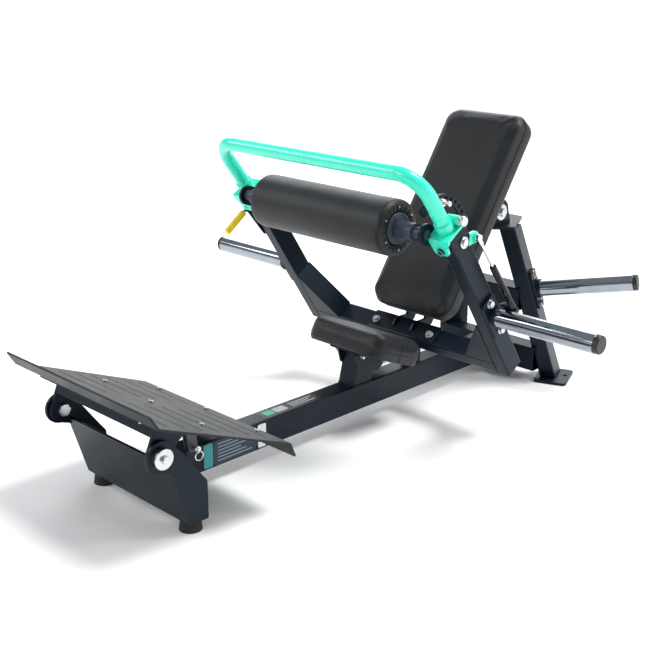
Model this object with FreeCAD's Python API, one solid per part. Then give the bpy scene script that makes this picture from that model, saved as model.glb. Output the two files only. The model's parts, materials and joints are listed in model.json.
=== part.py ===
import FreeCAD, Part
import math
import os

# Hip thrust machine. Millimetres, +Z up, floor at z = 0.
# +Y runs from the foot plate to the back pad, +X is the seated user's left.

V = FreeCAD.Vector
X_AXIS = V(1, 0, 0)
Y_AXIS = V(0, 1, 0)
Z_AXIS = V(0, 0, 1)

# ---- driving dimensions -------------------------------------------------
MIDDLE_Y = 17.92             # middle of the whole length, put over the origin
GAP = 0.5                    # clearance between parts that move past each other
RUNNING = 0.05               # radial clearance of a running fit

BEAM_WIDTH = 60.0            # main beam
BEAM_BOTTOM = 41.0
BEAM_TOP = 117.0
BEAM_FRONT = -640.0
BEAM_REAR = 697.0
WALL = 4.0                   # wall of every rectangular tube

PIVOT_Y = -735.0             # foot platform hinge
PIVOT_Z = 221.0
STAND_OUTER = 204.0          # outer face of the stand's side plates
STAND_PLATE = 8.0
STAND_WEB_TOP = 190.0
HUB_RADIUS = 38.0
FOOT_X = 172.0
FOOT_Y = -638.0
FOOT_RADIUS = 28.0
FOOT_HEIGHT = 28.0

TREAD_FRONT_Y = -792.0
TREAD_FRONT_Z = 331.0
TREAD_SLOPE = 22.0
TREAD_LENGTH = 399.0
LIP_LENGTH = 39.0            # front lip bent up, rear flange bent down
LIP_ANGLE = 122.5
FLANGE_LENGTH = 38.0
FLANGE_ANGLE = -67.0
TREAD_HALF = 282.0
TREAD_THICK = 5.0
SLOT_ROWS = 7
SLOT_PITCH = 50.0
EAR_OUTER = 194.0            # outer face of the platform's ears
EAR_PLATE = 8.0
APRON_ALONG = 64.0           # apron under the tread, from its front edge
APRON_DEPTH = 37.0
LATCH_RADIUS = 105.0         # pull pin's circle about the platform hinge
LATCH_ANGLE = -8.0
LATCH_STEP = 7.5
LATCH_PIN = 3.6              # pull pin's radius
LATCH_HOLE = 5.5             # strap hole's radius

SEAT_FRONT_Y = 32.0          # front lower edge of the seat pad
SEAT_FRONT_Z = 245.0
SEAT_SLOPE = 22.0
SEAT_LENGTH = 200.0
SEAT_HALF = 138.0
SEAT_THICK = 57.0
SEAT_BOARD = 12.0
SEAT_PLATE = 6.0

LEVER_LEAN = 33.0            # the U frame leans forward
FRAME_FOOT_Y = 324.0         # centre of the cross beam's lower face
FRAME_FOOT_Z = 193.8
ARM_OUTER = 380.0
ARM_INNER = 340.0
ARM_HALF_DEPTH = 30.0
ARM_TUBE = 452.0             # tube's length, below the solid arm head
CROSS_HEIGHT = 40.0
FLARE_X = 245.0              # where the corner box starts on the cross beam
FLARE_TOP = 190.0
BRACKET_BOLT_X = 102.0       # bolts that hold the spine's bracket on the cross beam

HORN_ALONG = 210.0           # weight horn's place along the arm
HORN_RADIUS = 25.0
HORN_TIP = 705.0
HORN_CAP = 14.0              # plastic end cap's length
HORN_SPIGOT = 24.0           # thinner root inside the collar, and the cap's radius
COLLAR_RADIUS = 29.0
COLLAR_LENGTH = 12.0

GATE_Y = 57.0                # hinge of the roller gate, in the arm heads
GATE_Z = 596.0
GATE_PIN = 10.0
HEAD_RADIUS = 30.0           # rounded top of the arm
CHEEK_IN = 324.0             # inner and outer cheeks of the gate's clevis
CHEEK_OUT = 386.0
CHEEK_PLATE = 8.0
SECTOR_X = 312.0             # index sector, inboard of the clevis
SECTOR_INNER = 86.0
SECTOR_OUTER = 108.0
INDEX_RADIUS = 97.0
INDEX_START = -13.2          # degrees from upright, positive to the rear
INDEX_STEP = 11.8
INDEX_COUNT = 7
LOCK_PIN = 4.0
LOCK_HOLE = 6.2
LOCK_TRAVEL = 12.0
HANDLE_Y = -82.0
HANDLE_Z = 772.0
HANDLE_HALF = 364.0
HANDLE_LEAN = 36.6
HANDLE_RADIUS = 19.0
HANDLE_BEND = 69.0
ROLLER_Y = -8.0
ROLLER_Z = 616.0
ROLLER_RADIUS = 72.5
ROLLER_HALF = 240.0
ROLLER_SHAFT = 15.0

SPRING_TOP_Y = 102.0         # gas spring's upper end on the gate
SPRING_TOP_Z = 602.0
SPRING_FOOT_Y = 270.0        # gas spring's lower end on the arm
SPRING_FOOT_Z = 378.0
SPRING_X = 404.0

PAD_FOOT_Y = 289.0           # lower edge of the back pad's front face
PAD_FOOT_Z = 295.0
PAD_LEAN = 34.0
PAD_LENGTH = 643.0
PAD_HALF = 145.0
PAD_THICK = 60.0
PAD_BOARD = 12.0
SPINE_DEPTH = 40.0
SPINE_HALF = 30.0

LEVER_Y = 617.0              # main hinge of the lever
LEVER_Z = 535.0
LEVER_SHAFT = 15.0
CHEEK_INNER = 82.0
CHEEK_OUTER = 94.0

LEG_TOP_X = 102.0            # centre lines of the rear legs
LEG_TOP_Y = 656.0
LEG_BASE_X = 195.0
LEG_BASE_Y = 782.0
LEG_TOP_Z = 488.0
LEG_YAW = 22.0
LEG_WIDTH = 50.0
LEG_DEPTH = 80.0
TOP_PLATE = 8.0
SOLE_THICK = 8.0

STORE_LENGTH = 300.0         # storage horns on the rear legs
STORE_Z = 292.0
STORE_RISE = 10.0

M12_HEAD = 9.5               # half of an M12 head's width across corners
M8_HEAD = 6.5


# ---- helpers ------------------------------------------------------------
def vec_yz(angle):
    """Unit vector in the YZ plane, angle from +Y towards +Z."""
    a = math.radians(angle)
    return V(0, math.cos(a), math.sin(a))


def local(origin, along_angle, out_angle):
    """Point maker: x across, then along one direction and out along another."""
    along = vec_yz(along_angle)
    out = vec_yz(out_angle)
    base = V(0, origin[0], origin[1])

    def point(x, a, b=0.0):
        return base + V(x, 0, 0) + along * a + out * b

    return point, along, out


arm_at, ARM_UP, ARM_BACK = local((FRAME_FOOT_Y, FRAME_FOOT_Z), 90 + LEVER_LEAN, LEVER_LEAN)
pad_at, PAD_UP, PAD_BACK = local((PAD_FOOT_Y, PAD_FOOT_Z), 90 - PAD_LEAN, -PAD_LEAN)
tread_at, TREAD_REAR, TREAD_UP = local((TREAD_FRONT_Y, TREAD_FRONT_Z), -TREAD_SLOPE, 90 - TREAD_SLOPE)
seat_at, _, SEAT_UP = local((SEAT_FRONT_Y, SEAT_FRONT_Z), -SEAT_SLOPE, 90 - SEAT_SLOPE)


def box(x0, x1, y0, y1, z0, z1):
    return Part.makeBox(x1 - x0, y1 - y0, z1 - z0, V(x0, y0, z0))


def rod(radius, start, end):
    return Part.makeCylinder(radius, (end - start).Length, start, end - start)


def rod_x(radius, x0, x1, y, z):
    return rod(radius, V(x0, y, z), V(x1, y, z))


def outline(points, radii=0.0):
    """Closed planar wire through the points, each corner rounded by its radius."""
    count = len(points)
    if not isinstance(radii, (list, tuple)):
        radii = [radii] * count
    starts = []
    ends = []
    middles = []
    for i, corner in enumerate(points):
        back = points[i - 1] - corner
        ahead = points[(i + 1) % count] - corner
        back.normalize()
        ahead.normalize()
        half = back.getAngle(ahead) / 2
        reach = radii[i] / math.tan(half)
        bisector = back + ahead
        bisector.normalize()
        starts.append(corner + back * reach)
        ends.append(corner + ahead * reach)
        middles.append(corner + bisector * (radii[i] / math.sin(half) - radii[i]))
    edges = []
    for i in range(count):
        if radii[i] > 0:
            edges.append(Part.Arc(starts[i], middles[i], ends[i]).toShape())
        following = starts[(i + 1) % count]
        if (following - ends[i]).Length > 1e-4:
            edges.append(Part.makeLine(ends[i], following))
    return Part.Wire(edges)


def prism(points, direction, radii=0.0):
    """Solid swept from a rounded polygon along a vector."""
    return Part.Face(outline(points, radii)).extrude(direction)


def plate_x(points_yz, x0, x1, radii=0.0):
    """Flat plate lying in a YZ plane, from x0 to x1."""
    return prism([V(x0, y, z) for y, z in points_yz], V(x1 - x0, 0, 0), radii)


def slot_plate(start, end, radius, x0, x1):
    """Plate in a YZ plane with a round end about each of two centres."""
    along = V(0, end[0] - start[0], end[1] - start[1])
    length = along.Length
    along.normalize()
    side = V(0, -along.z, along.y)
    base = V(x0, start[0], start[1])
    corners = [base - along * radius + side * radius, base - along * radius - side * radius,
               base + along * (length + radius) - side * radius,
               base + along * (length + radius) + side * radius]
    return prism(corners, V(x1 - x0, 0, 0), radius)


def tube_section(corners, direction, wall, radius=5.0):
    """Hollow rectangular tube swept from four corners along a vector."""
    centre = (corners[0] + corners[1] + corners[2] + corners[3]) * 0.25
    first = corners[1] - corners[0]
    second = corners[3] - corners[0]
    half_a = first.Length / 2 - wall
    half_b = second.Length / 2 - wall
    first.normalize()
    second.normalize()
    inner = []
    for sign_a, sign_b in ((-1, -1), (1, -1), (1, 1), (-1, 1)):
        inner.append(centre + first * (sign_a * half_a) + second * (sign_b * half_b))
    outer_solid = prism(corners, direction, radius)
    return outer_solid.cut(prism(inner, direction, max(radius - wall, 0.5)))


def hex_head(radius, start, end):
    """Hexagonal bolt head or nut between two points of its axis."""
    axis = end - start
    side = V(1, 0, 0) if abs(axis.x) < 0.5 * axis.Length else V(0, 0, 1)
    side = side.cross(axis)
    side.normalize()
    turn = FreeCAD.Rotation(axis, 60)
    points = []
    for _ in range(6):
        points.append(start + side * radius)
        side = turn.multVec(side)
    return prism(points, axis)


def bolt(head_radius, seat, direction, head=7.0, shank=14.0):
    """Hex bolt with a washer: its washer rests on the seat point."""
    unit = V(direction.x, direction.y, direction.z)
    unit.normalize()
    washer = rod(head_radius * 1.25, seat, seat + unit * 2.0)
    top = hex_head(head_radius, seat + unit * 2.0, seat + unit * (2.0 + head))
    stem = rod(head_radius * 0.5, seat - unit * shank, seat)
    return washer.fuse([top, stem]).removeSplitter()


def mirrored(shape):
    return shape.mirror(V(0, 0, 0), X_AXIS)


def both_sides(shape):
    return Part.makeCompound([shape, mirrored(shape)])


def fused(*shapes):
    return shapes[0].fuse(list(shapes[1:])).removeSplitter()


NODES = {}


def node(name, shape):
    NODES[name] = shape


def pair(name, shape):
    """A part on the +X side and its mirror image: the user's left and right."""
    NODES[name + "_left"] = shape
    NODES[name + "_right"] = mirrored(shape)


# ---- front stand and main beam -------------------------------------------
def front_stand():
    """Bent plate: two side plates joined by a sloping front web, on two foot flanges."""
    edge_low = (-664.0, FOOT_HEIGHT)
    edge_high = (-708.0, 173.0)
    inner = STAND_OUTER - STAND_PLATE
    side = plate_x([edge_low, (-609.0, FOOT_HEIGHT), (-609.0, 124.0), (-630.0, 151.0),
                    (-678.0, 217.0), (-712.0, 251.0), (PIVOT_Y, PIVOT_Z), (-759.0, 191.0),
                    edge_high], inner, STAND_OUTER, [2, 4, 14, 30, 12, 2, 2, 2, 10])
    side = side.fuse(rod_x(HUB_RADIUS, inner, STAND_OUTER, PIVOT_Y, PIVOT_Z))
    side = side.cut(rod_x(10.0, 0, 400, PIVOT_Y, PIVOT_Z))
    web = plate_x([stand_face(FOOT_HEIGHT, 0), stand_face(FOOT_HEIGHT, STAND_PLATE),
                   stand_face(STAND_WEB_TOP, STAND_PLATE), stand_face(STAND_WEB_TOP, 0)], -inner, inner)
    flange = prism([V(FOOT_X - 34, -664, FOOT_HEIGHT), V(inner, -664, FOOT_HEIGHT),
                    V(inner, -612, FOOT_HEIGHT), V(FOOT_X - 34, -612, FOOT_HEIGHT)],
                   V(0, 0, 6), [0.5, 0.5, 0.5, 14])
    return fused(side, mirrored(side), web, flange, mirrored(flange))


def stand_face(height, behind):
    """Point on the stand's sloping front plane, moved to the rear by a distance."""
    slope = (-708.0 + 664.0) / (173.0 - FOOT_HEIGHT)
    return (-664.0 + slope * (height - FOOT_HEIGHT) + behind, height)


def front_foot():
    pad = Part.makeCone(FOOT_RADIUS, FOOT_RADIUS - 4, FOOT_HEIGHT, V(FOOT_X, FOOT_Y, 0), Z_AXIS)
    return pad


def stand_stub():
    """Short tube from the stand's web to the beam's front flange."""
    tube = tube_section([V(-24, -720, 46), V(24, -720, 46), V(24, -720, 112), V(-24, -720, 112)],
                        V(0, 72, 0), WALL)
    rear_low = stand_face(0, STAND_PLATE)
    rear_high = stand_face(200, STAND_PLATE)
    in_front = plate_x([(-800, 0), rear_low, rear_high, (-800, 200)], -60, 60)
    return tube.cut(in_front)


def flange_plate(y0, y1):
    plate = prism([V(-46, y0, 36), V(46, y0, 36), V(46, y0, 122), V(-46, y0, 122)], V(0, y1 - y0, 0), 6)
    for x in (-38.0, 38.0):
        for z in (46.0, 112.0):
            plate = plate.cut(rod(3.2, V(x, y0 - 1, z), V(x, y1 + 1, z)))
    return plate


def main_beam():
    half = BEAM_WIDTH / 2
    return tube_section([V(-half, BEAM_FRONT, BEAM_BOTTOM), V(half, BEAM_FRONT, BEAM_BOTTOM),
                         V(half, BEAM_FRONT, BEAM_TOP), V(-half, BEAM_FRONT, BEAM_TOP)],
                        V(0, BEAM_REAR - BEAM_FRONT, 0), WALL)


def flange_bolts():
    bolts = []
    for x in (-38.0, 38.0):
        for z in (46.0, 112.0):
            bolts.append(bolt(5.0, V(x, BEAM_FRONT + 8, z), Y_AXIS, 5.0, 15.0))
    return Part.makeCompound(bolts)


def latch_strap():
    """Plate with three holes about the platform's hinge, fixed inside the stand."""
    strap = plate_x([latch_point(12, 9), latch_point(12, -9), latch_point(-30, -9), (-646.0, 120.0),
                     (-616.0, 104.0), latch_point(-30, 14), latch_point(-9, 12)],
                    174.5, 179.5, [6, 6, 10, 4, 4, 20, 30])
    block = box(179.5, STAND_OUTER - STAND_PLATE, -640.0, -617.0, 106.0, 130.0)
    strap = fused(strap, block)
    for step in range(3):
        y, z = latch_point(LATCH_ANGLE + LATCH_STEP * step, 0)
        strap = strap.cut(rod_x(LATCH_HOLE, 170, 190, y, z))
    return strap


def latch_point(angle, outward):
    a = math.radians(angle)
    radius = LATCH_RADIUS + outward
    return (PIVOT_Y + radius * math.cos(a), PIVOT_Z + radius * math.sin(a))


node("front_stand", front_stand())
node("latch_strap", latch_strap())
node("front_feet", both_sides(front_foot()))
node("stand_stub", fused(stand_stub(), flange_plate(BEAM_FRONT - 8, BEAM_FRONT)))
node("flange_bolts", flange_bolts())


# ---- foot platform ---------------------------------------------------------
def tread():
    """Bent tread: lip up at the front, flange down at the rear, rows of slots."""
    thick = TREAD_THICK
    front = tread_at(0, 0, 0)
    rear = tread_at(0, TREAD_LENGTH, -thick)
    lip = vec_yz(LIP_ANGLE)
    lip_under = vec_yz(LIP_ANGLE + 90)
    flange = vec_yz(FLANGE_ANGLE)
    flange_over = vec_yz(FLANGE_ANGLE + 90)
    flat = [front, tread_at(0, TREAD_LENGTH, 0), rear, tread_at(0, 0, -thick)]
    turned_up = [front, front + lip * LIP_LENGTH, front + lip * LIP_LENGTH + lip_under * thick,
                 front + lip_under * thick]
    turned_down = [rear, rear + flange * FLANGE_LENGTH,
                   rear + flange * FLANGE_LENGTH + flange_over * thick, rear + flange_over * thick]
    pieces = [rod_x(thick, -TREAD_HALF, TREAD_HALF, front.y, front.z).cut(
        plate_x([(p.y, p.z) for p in (front, front + lip * 30, tread_at(0, 30, 30),
                                      tread_at(0, 30, 0))], -400, 400))]
    pieces.append(rod_x(thick, -TREAD_HALF, TREAD_HALF, rear.y, rear.z).cut(
        plate_x([(p.y, p.z) for p in (rear, rear + flange * 30, tread_at(0, TREAD_LENGTH - 30, -40),
                                      tread_at(0, TREAD_LENGTH - 30, -thick))], -400, 400)))
    for corners in (flat, turned_up, turned_down):
        pieces.append(plate_x([(p.y, p.z) for p in corners], -TREAD_HALF, TREAD_HALF))
    plate = fused(*pieces)
    for row in range(SLOT_ROWS):
        along = 48.0 + SLOT_PITCH * row
        for side in (-1, 1):
            start = tread_at(side * 42.0, along, -thick - 8)
            end = tread_at(side * 250.0, along, -thick - 8)
            width = TREAD_REAR * 2.0
            corners = [start - width, start + width, end + width, end - width]
            plate = plate.cut(prism(corners, TREAD_UP * 24, 1.9))
    for x, along in SCREW_PLACES:
        plate = plate.cut(rod(3.3, tread_at(x, along, -12), tread_at(x, along, 6)))
    return plate


SCREW_PLACES = []
for screw_x in (-190.0, 0.0, 190.0):
    for screw_along in (22.0, 198.0, 374.0):
        SCREW_PLACES.append((screw_x, screw_along))


def platform_frame():
    """Tray under the tread: front apron, cross rails, two ears that reach the hinge."""
    deck = -TREAD_THICK - 0.2
    inner = EAR_OUTER - EAR_PLATE
    ear_points = [tread_at(0, APRON_ALONG, deck), tread_at(0, 386, deck), tread_at(0, 386, deck - 15),
                  tread_at(0, 150, deck - 15)]
    ear = plate_x([(p.y, p.z) for p in ear_points] + [(PIVOT_Y + 30, PIVOT_Z - 8),
                  (PIVOT_Y - 31, PIVOT_Z + 6)], inner, EAR_OUTER, [4, 4, 4, 30, 14, 6])
    ear = ear.fuse(rod_x(32.0, inner, EAR_OUTER, PIVOT_Y, PIVOT_Z))
    ear = ear.cut(rod_x(10.0 + RUNNING, 0, 400, PIVOT_Y, PIVOT_Z))
    webs = []
    for along, depth in ((APRON_ALONG, APRON_DEPTH), (196.0, 15.0), (378.0, 15.0)):
        corners = [tread_at(-inner, along, deck), tread_at(-inner, along + 8, deck),
                   tread_at(-inner, along + 8, deck - depth), tread_at(-inner, along, deck - depth)]
        webs.append(prism(corners, V(2 * inner, 0, 0)))
    rails = []
    for along, wide in ((8.0, APRON_ALONG), (184.0, 34.0), (352.0, 34.0)):
        corners = [tread_at(-inner, along, deck), tread_at(-inner, along + wide, deck),
                   tread_at(-inner, along + wide, deck - 5), tread_at(-inner, along, deck - 5)]
        rails.append(prism(corners, V(2 * inner, 0, 0)))
    tray = fused(ear, mirrored(ear), *webs, *rails)
    for x, along in SCREW_PLACES:
        tray = tray.cut(rod(3.3, tread_at(x, along, -20), tread_at(x, along, 6)))
    return tray


def tread_screws():
    screws = []
    for x, along in SCREW_PLACES:
        seat = tread_at(x, along, 0.2)
        head = rod(6.5, seat, seat + TREAD_UP * 3.5)
        socket = hex_head(2.6, seat + TREAD_UP * 1.2, seat + TREAD_UP * 5.0)
        screws.append(head.cut(socket).fuse(rod(3.0, seat - TREAD_UP * 13, seat)).removeSplitter())
    return Part.makeCompound(screws)


def hinge_bolt():
    """Hinge bolt with its wide clamping disc outside the stand's side plate."""
    shaft = rod_x(10.0, EAR_OUTER - EAR_PLATE - 12, STAND_OUTER + 1, PIVOT_Y, PIVOT_Z)
    disc = rod_x(25.0, STAND_OUTER, STAND_OUTER + 13, PIVOT_Y, PIVOT_Z)
    disc = disc.makeFillet(2.0, [disc.Edges[0]])
    head = hex_head(9.5, V(STAND_OUTER + 13, PIVOT_Y, PIVOT_Z), V(STAND_OUTER + 20, PIVOT_Y, PIVOT_Z))
    nut = hex_head(16.0, V(EAR_OUTER - EAR_PLATE - 12, PIVOT_Y, PIVOT_Z),
                   V(EAR_OUTER - EAR_PLATE - GAP, PIVOT_Y, PIVOT_Z))
    return fused(shaft, disc, head, nut)


LATCH_X = 168.0
LATCH_PIN_Y, LATCH_PIN_Z = latch_point(LATCH_ANGLE, 0)


def latch_bracket():
    """Grey fork under the tread that holds the pull pin either side of the strap."""
    plates = []
    for x0 in (LATCH_X, LATCH_X + 13.4):
        plates.append(plate_x([(LATCH_PIN_Y - 20, LATCH_PIN_Z + 51), (LATCH_PIN_Y + 8, LATCH_PIN_Z + 39),
                               (LATCH_PIN_Y + 14, LATCH_PIN_Z - 11), (LATCH_PIN_Y - 12, LATCH_PIN_Z - 11)],
                              x0, x0 + 4.5, [1, 1, 9, 9]))
    top = prism([tread_at(LATCH_X, 152, -10.4), tread_at(LATCH_X, 194, -10.4),
                 tread_at(LATCH_X, 194, -15), tread_at(LATCH_X, 152, -15)], V(17.9, 0, 0))
    body = fused(*plates, top)
    return body.cut(rod_x(LATCH_PIN + RUNNING, 100, 300, LATCH_PIN_Y, LATCH_PIN_Z))


def latch_pin():
    pin = rod_x(LATCH_PIN, LATCH_X + 14.0, LATCH_X + 38, LATCH_PIN_Y, LATCH_PIN_Z)
    collar = rod_x(8.0, LATCH_X + 32, LATCH_X + 35, LATCH_PIN_Y, LATCH_PIN_Z)
    ring = Part.makeTorus(11.0, 1.6, V(LATCH_X + 37, LATCH_PIN_Y, LATCH_PIN_Z - 14.0), X_AXIS)
    return fused(pin, collar, ring)


node("tread", tread())
node("platform_frame", platform_frame())
node("tread_screws", tread_screws())
node("hinge_bolts", both_sides(hinge_bolt()))
node("latch_bracket", latch_bracket())
node("latch_pin", latch_pin())


# ---- seat -------------------------------------------------------------------
def seat_underside(y, depth):
    """Height of the plane that lies a depth below the seat pad's lower face."""
    slope = math.radians(SEAT_SLOPE)
    low = seat_at(0, 0, -depth)
    return low.z - math.tan(slope) * (y - low.y)


def seat_post():
    """Leaning tube on the beam, cut to the seat plate's slope."""
    lean = math.radians(13.0)
    depth = SEAT_BOARD + SEAT_PLATE
    reach = 130.0
    front = (58.0, BEAM_TOP)
    rear = (130.0, BEAM_TOP)
    tall = plate_x([front, rear, (rear[0] + reach * math.sin(lean), BEAM_TOP + reach * math.cos(lean)),
                    (front[0] + reach * math.sin(lean), BEAM_TOP + reach * math.cos(lean))], -29, 29)
    hollow = plate_x([(front[0] + WALL, BEAM_TOP - 1), (rear[0] - WALL, BEAM_TOP - 1),
                      (rear[0] - WALL + reach * math.sin(lean), BEAM_TOP + reach * math.cos(lean)),
                      (front[0] + WALL + reach * math.sin(lean), BEAM_TOP + reach * math.cos(lean))],
                     -25, 25)
    above = plate_x([(0, seat_underside(0, depth)), (260, seat_underside(260, depth)), (260, 500),
                     (0, 500)], -60, 60)
    return tall.cut(hollow).cut(above)


SEAT_BOLTS = [(x, a) for x in (-48.0, 48.0) for a in (52.0, 148.0)]


def seat_plate():
    low = -SEAT_BOARD - SEAT_PLATE
    plate = prism([seat_at(-65, 30, low), seat_at(65, 30, low), seat_at(65, 170, low),
                   seat_at(-65, 170, low)], SEAT_UP * SEAT_PLATE, 8)
    wings = []
    for side in (-1, 1):
        x0 = side * 32.0 - 3.0
        wings.append(prism([seat_at(x0, 34, low), seat_at(x0, 166, low), seat_at(x0, 150, low - 34),
                            seat_at(x0, 60, low - 34)], V(6, 0, 0), 6))
    plate = fused(plate, *wings)
    for x, a in SEAT_BOLTS:
        plate = plate.cut(rod(4.3, seat_at(x, a, low - 2), seat_at(x, a, 0)))
    return plate


def seat_board():
    board = prism([seat_at(-SEAT_HALF + 8, 8, -SEAT_BOARD), seat_at(SEAT_HALF - 8, 8, -SEAT_BOARD),
                   seat_at(SEAT_HALF - 8, SEAT_LENGTH - 8, -SEAT_BOARD),
                   seat_at(-SEAT_HALF + 8, SEAT_LENGTH - 8, -SEAT_BOARD)],
                  SEAT_UP * SEAT_BOARD, 24)
    for x, a in SEAT_BOLTS:
        board = board.cut(rod(4.3, seat_at(x, a, -SEAT_BOARD - 2), seat_at(x, a, 1)))
    return board


def seat_pad():
    return prism([seat_at(-SEAT_HALF, 0, 0.3), seat_at(SEAT_HALF, 0, 0.3),
                  seat_at(SEAT_HALF, SEAT_LENGTH, 0.3), seat_at(-SEAT_HALF, SEAT_LENGTH, 0.3)],
                 SEAT_UP * (SEAT_THICK - 0.3), 34)


def seat_bolts():
    bolts = []
    for x, a in SEAT_BOLTS:
        bolts.append(bolt(M8_HEAD, seat_at(x, a, -SEAT_BOARD - SEAT_PLATE), SEAT_UP * -1, 5.0, 16.0))
    return Part.makeCompound(bolts)


node("seat_post", fused(seat_post(), seat_plate()))
node("seat_board", seat_board())
node("seat_pad", seat_pad())
node("seat_bolts", seat_bolts())


# ---- rear frame ----------------------------------------------------------------
YAW = math.radians(LEG_YAW)
LEG_SIDE = V(math.cos(YAW), math.sin(YAW), 0)
LEG_REAR = V(-math.sin(YAW), math.cos(YAW), 0)


def leg_centre(z):
    share = (LEG_TOP_Z - z) / (LEG_TOP_Z - SOLE_THICK)
    return V(LEG_TOP_X + (LEG_BASE_X - LEG_TOP_X) * share,
             LEG_TOP_Y + (LEG_BASE_Y - LEG_TOP_Y) * share, z)


def leg_corners(z, grow=0.0):
    centre = leg_centre(z)
    side = LEG_SIDE * (LEG_WIDTH / 2 + grow)
    rear = LEG_REAR * (LEG_DEPTH / 2 + grow)
    return [centre - side - rear, centre + side - rear, centre + side + rear, centre - side + rear]


def rear_leg():
    sweep = leg_centre(LEG_TOP_Z) - leg_centre(SOLE_THICK)
    return tube_section(leg_corners(SOLE_THICK), sweep, WALL)


def leg_core():
    """Everything inside the leg's outer skin, used to cope the crossbars."""
    low = leg_centre(0)
    high = leg_centre(LEG_TOP_Z)
    return prism(leg_corners(0, 0.05), high - low, 5.0)


def crossbar(y0, y1, z0, z1):
    """Rectangular tube between the legs, coped to their faces."""
    half = leg_centre((z0 + z1) / 2).x
    bar = tube_section([V(-half, y0, z0), V(-half, y1, z0), V(-half, y1, z1), V(-half, y0, z1)],
                       V(2 * half, 0, 0), WALL)
    core = leg_core()
    bar = bar.cut(core).cut(mirrored(core))
    solids = sorted(bar.Solids, key=lambda s: abs(s.CenterOfMass.x))
    return solids[0]


def sole():
    centre = leg_centre(0) + LEG_SIDE * 11 - LEG_REAR * 13
    side = LEG_SIDE * 50
    rear = LEG_REAR * 65
    corners = [centre - side - rear, centre + side - rear, centre + side + rear, centre - side + rear]
    plate = prism(corners, V(0, 0, SOLE_THICK), 14)
    return plate.cut(rod(6.5, V(ANCHOR.x, ANCHOR.y, -1), V(ANCHOR.x, ANCHOR.y, 20)))


ANCHOR = leg_centre(0) + LEG_SIDE * 45 - LEG_REAR * 4


def top_plate():
    outline_points = [(88, 575), (141, 627), (70, 762)]
    corners = [V(x, y, LEG_TOP_Z) for x, y in outline_points]
    corners += [V(-x, y, LEG_TOP_Z) for x, y in reversed(outline_points)]
    return prism(corners, V(0, 0, TOP_PLATE), 6)


def bearing_cheek():
    """Upright cheek on the top plate that carries the lever's shaft."""
    top = LEG_TOP_Z + TOP_PLATE
    cheek = plate_x([(LEVER_Y - 38, top), (LEVER_Y + 52, top), (LEVER_Y + 38, LEVER_Z),
                     (LEVER_Y + 38, LEVER_Z + 38), (LEVER_Y - 38, LEVER_Z + 38)],
                    CHEEK_INNER, CHEEK_OUTER, [2, 6, 30, 36, 36])
    return cheek.cut(rod_x(LEVER_SHAFT + RUNNING, 0, 300, LEVER_Y, LEVER_Z))


STORE_RISE_RAD = math.radians(STORE_RISE)
STORE_AXIS = V(LEG_SIDE.x * math.cos(STORE_RISE_RAD), LEG_SIDE.y * math.cos(STORE_RISE_RAD),
               math.sin(STORE_RISE_RAD))


LEG_SWEEP = (leg_centre(LEG_TOP_Z) - leg_centre(0)).normalize()
LEG_FACE = LEG_REAR.cross(LEG_SWEEP).normalize()


def store_base():
    return leg_centre(STORE_Z) + LEG_SIDE * (LEG_WIDTH / 2)


def store_plate():
    """Bolt-on plate of a storage horn, flat against the leg's outer face."""
    base = store_base() + LEG_FACE * 0.05
    rear = LEG_REAR * 30
    corners = [base - LEG_SWEEP * 62 - rear, base - LEG_SWEEP * 62 + rear,
               base + LEG_SWEEP * 62 + rear, base + LEG_SWEEP * 62 - rear]
    plate = prism(corners, LEG_FACE * 8, 10)
    for end in (-1, 1):
        centre = base + LEG_SWEEP * (48 * end)
        plate = plate.cut(rod(6.2, centre - LEG_FACE, centre + LEG_FACE * 9))
    return plate


def store_bolts():
    bolts = []
    for end in (-1, 1):
        seat = store_base() + LEG_SWEEP * (48 * end) + LEG_FACE * 8.1
        bolts.append(bolt(M12_HEAD, seat, LEG_FACE, 7.0, 7.5))
    return Part.makeCompound(bolts)


def store_start():
    return store_base() + LEG_FACE * 8.05


def store_tube():
    start = store_start()
    root = rod(HORN_SPIGOT, start - STORE_AXIS * 12, start + STORE_AXIS * COLLAR_LENGTH)
    tube = rod(HORN_RADIUS, start + STORE_AXIS * COLLAR_LENGTH,
               start + STORE_AXIS * (STORE_LENGTH - HORN_CAP))
    return fused(root, tube).cut(behind_store_plate())


def behind_store_plate():
    start = store_start()
    rear = LEG_REAR * 80
    up = LEG_SWEEP * 80
    corners = [start - rear - up, start + rear - up, start + rear + up, start - rear + up]
    return prism(corners, LEG_FACE * -60)


def store_cap():
    start = store_start() + STORE_AXIS * (STORE_LENGTH - HORN_CAP)
    cap = rod(HORN_SPIGOT, start, start + STORE_AXIS * HORN_CAP)
    return cap.makeFillet(4.0, [cap.Edges[0]])


def store_collar():
    start = store_start()
    ring = rod(COLLAR_RADIUS, start - STORE_AXIS * 15, start + STORE_AXIS * COLLAR_LENGTH)
    bore = rod(HORN_SPIGOT, start - STORE_AXIS * 30, start + STORE_AXIS * 20)
    return ring.cut(bore).cut(behind_store_plate())


pair("rear_leg", rear_leg())
node("lower_crossbar", crossbar(BEAM_REAR, BEAM_REAR + 65, 33, 108))
node("middle_crossbar", crossbar(655, 730, 230, 300))
node("top_plate", fused(top_plate(), bearing_cheek(), mirrored(bearing_cheek())))
node("rear_soles", both_sides(sole()))
node("storage_horns", both_sides(store_tube()))
node("storage_horn_mounts", both_sides(fused(store_plate(), store_collar())))
node("storage_horn_caps", both_sides(store_cap()))
node("storage_horn_bolts", both_sides(store_bolts()))


# ---- lever: U frame ----------------------------------------------------------------
def arm():
    back = ARM_HALF_DEPTH
    return tube_section([arm_at(ARM_INNER, 0, -back), arm_at(ARM_OUTER, 0, -back),
                         arm_at(ARM_OUTER, 0, back), arm_at(ARM_INNER, 0, back)],
                        ARM_UP * ARM_TUBE, WALL)


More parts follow.
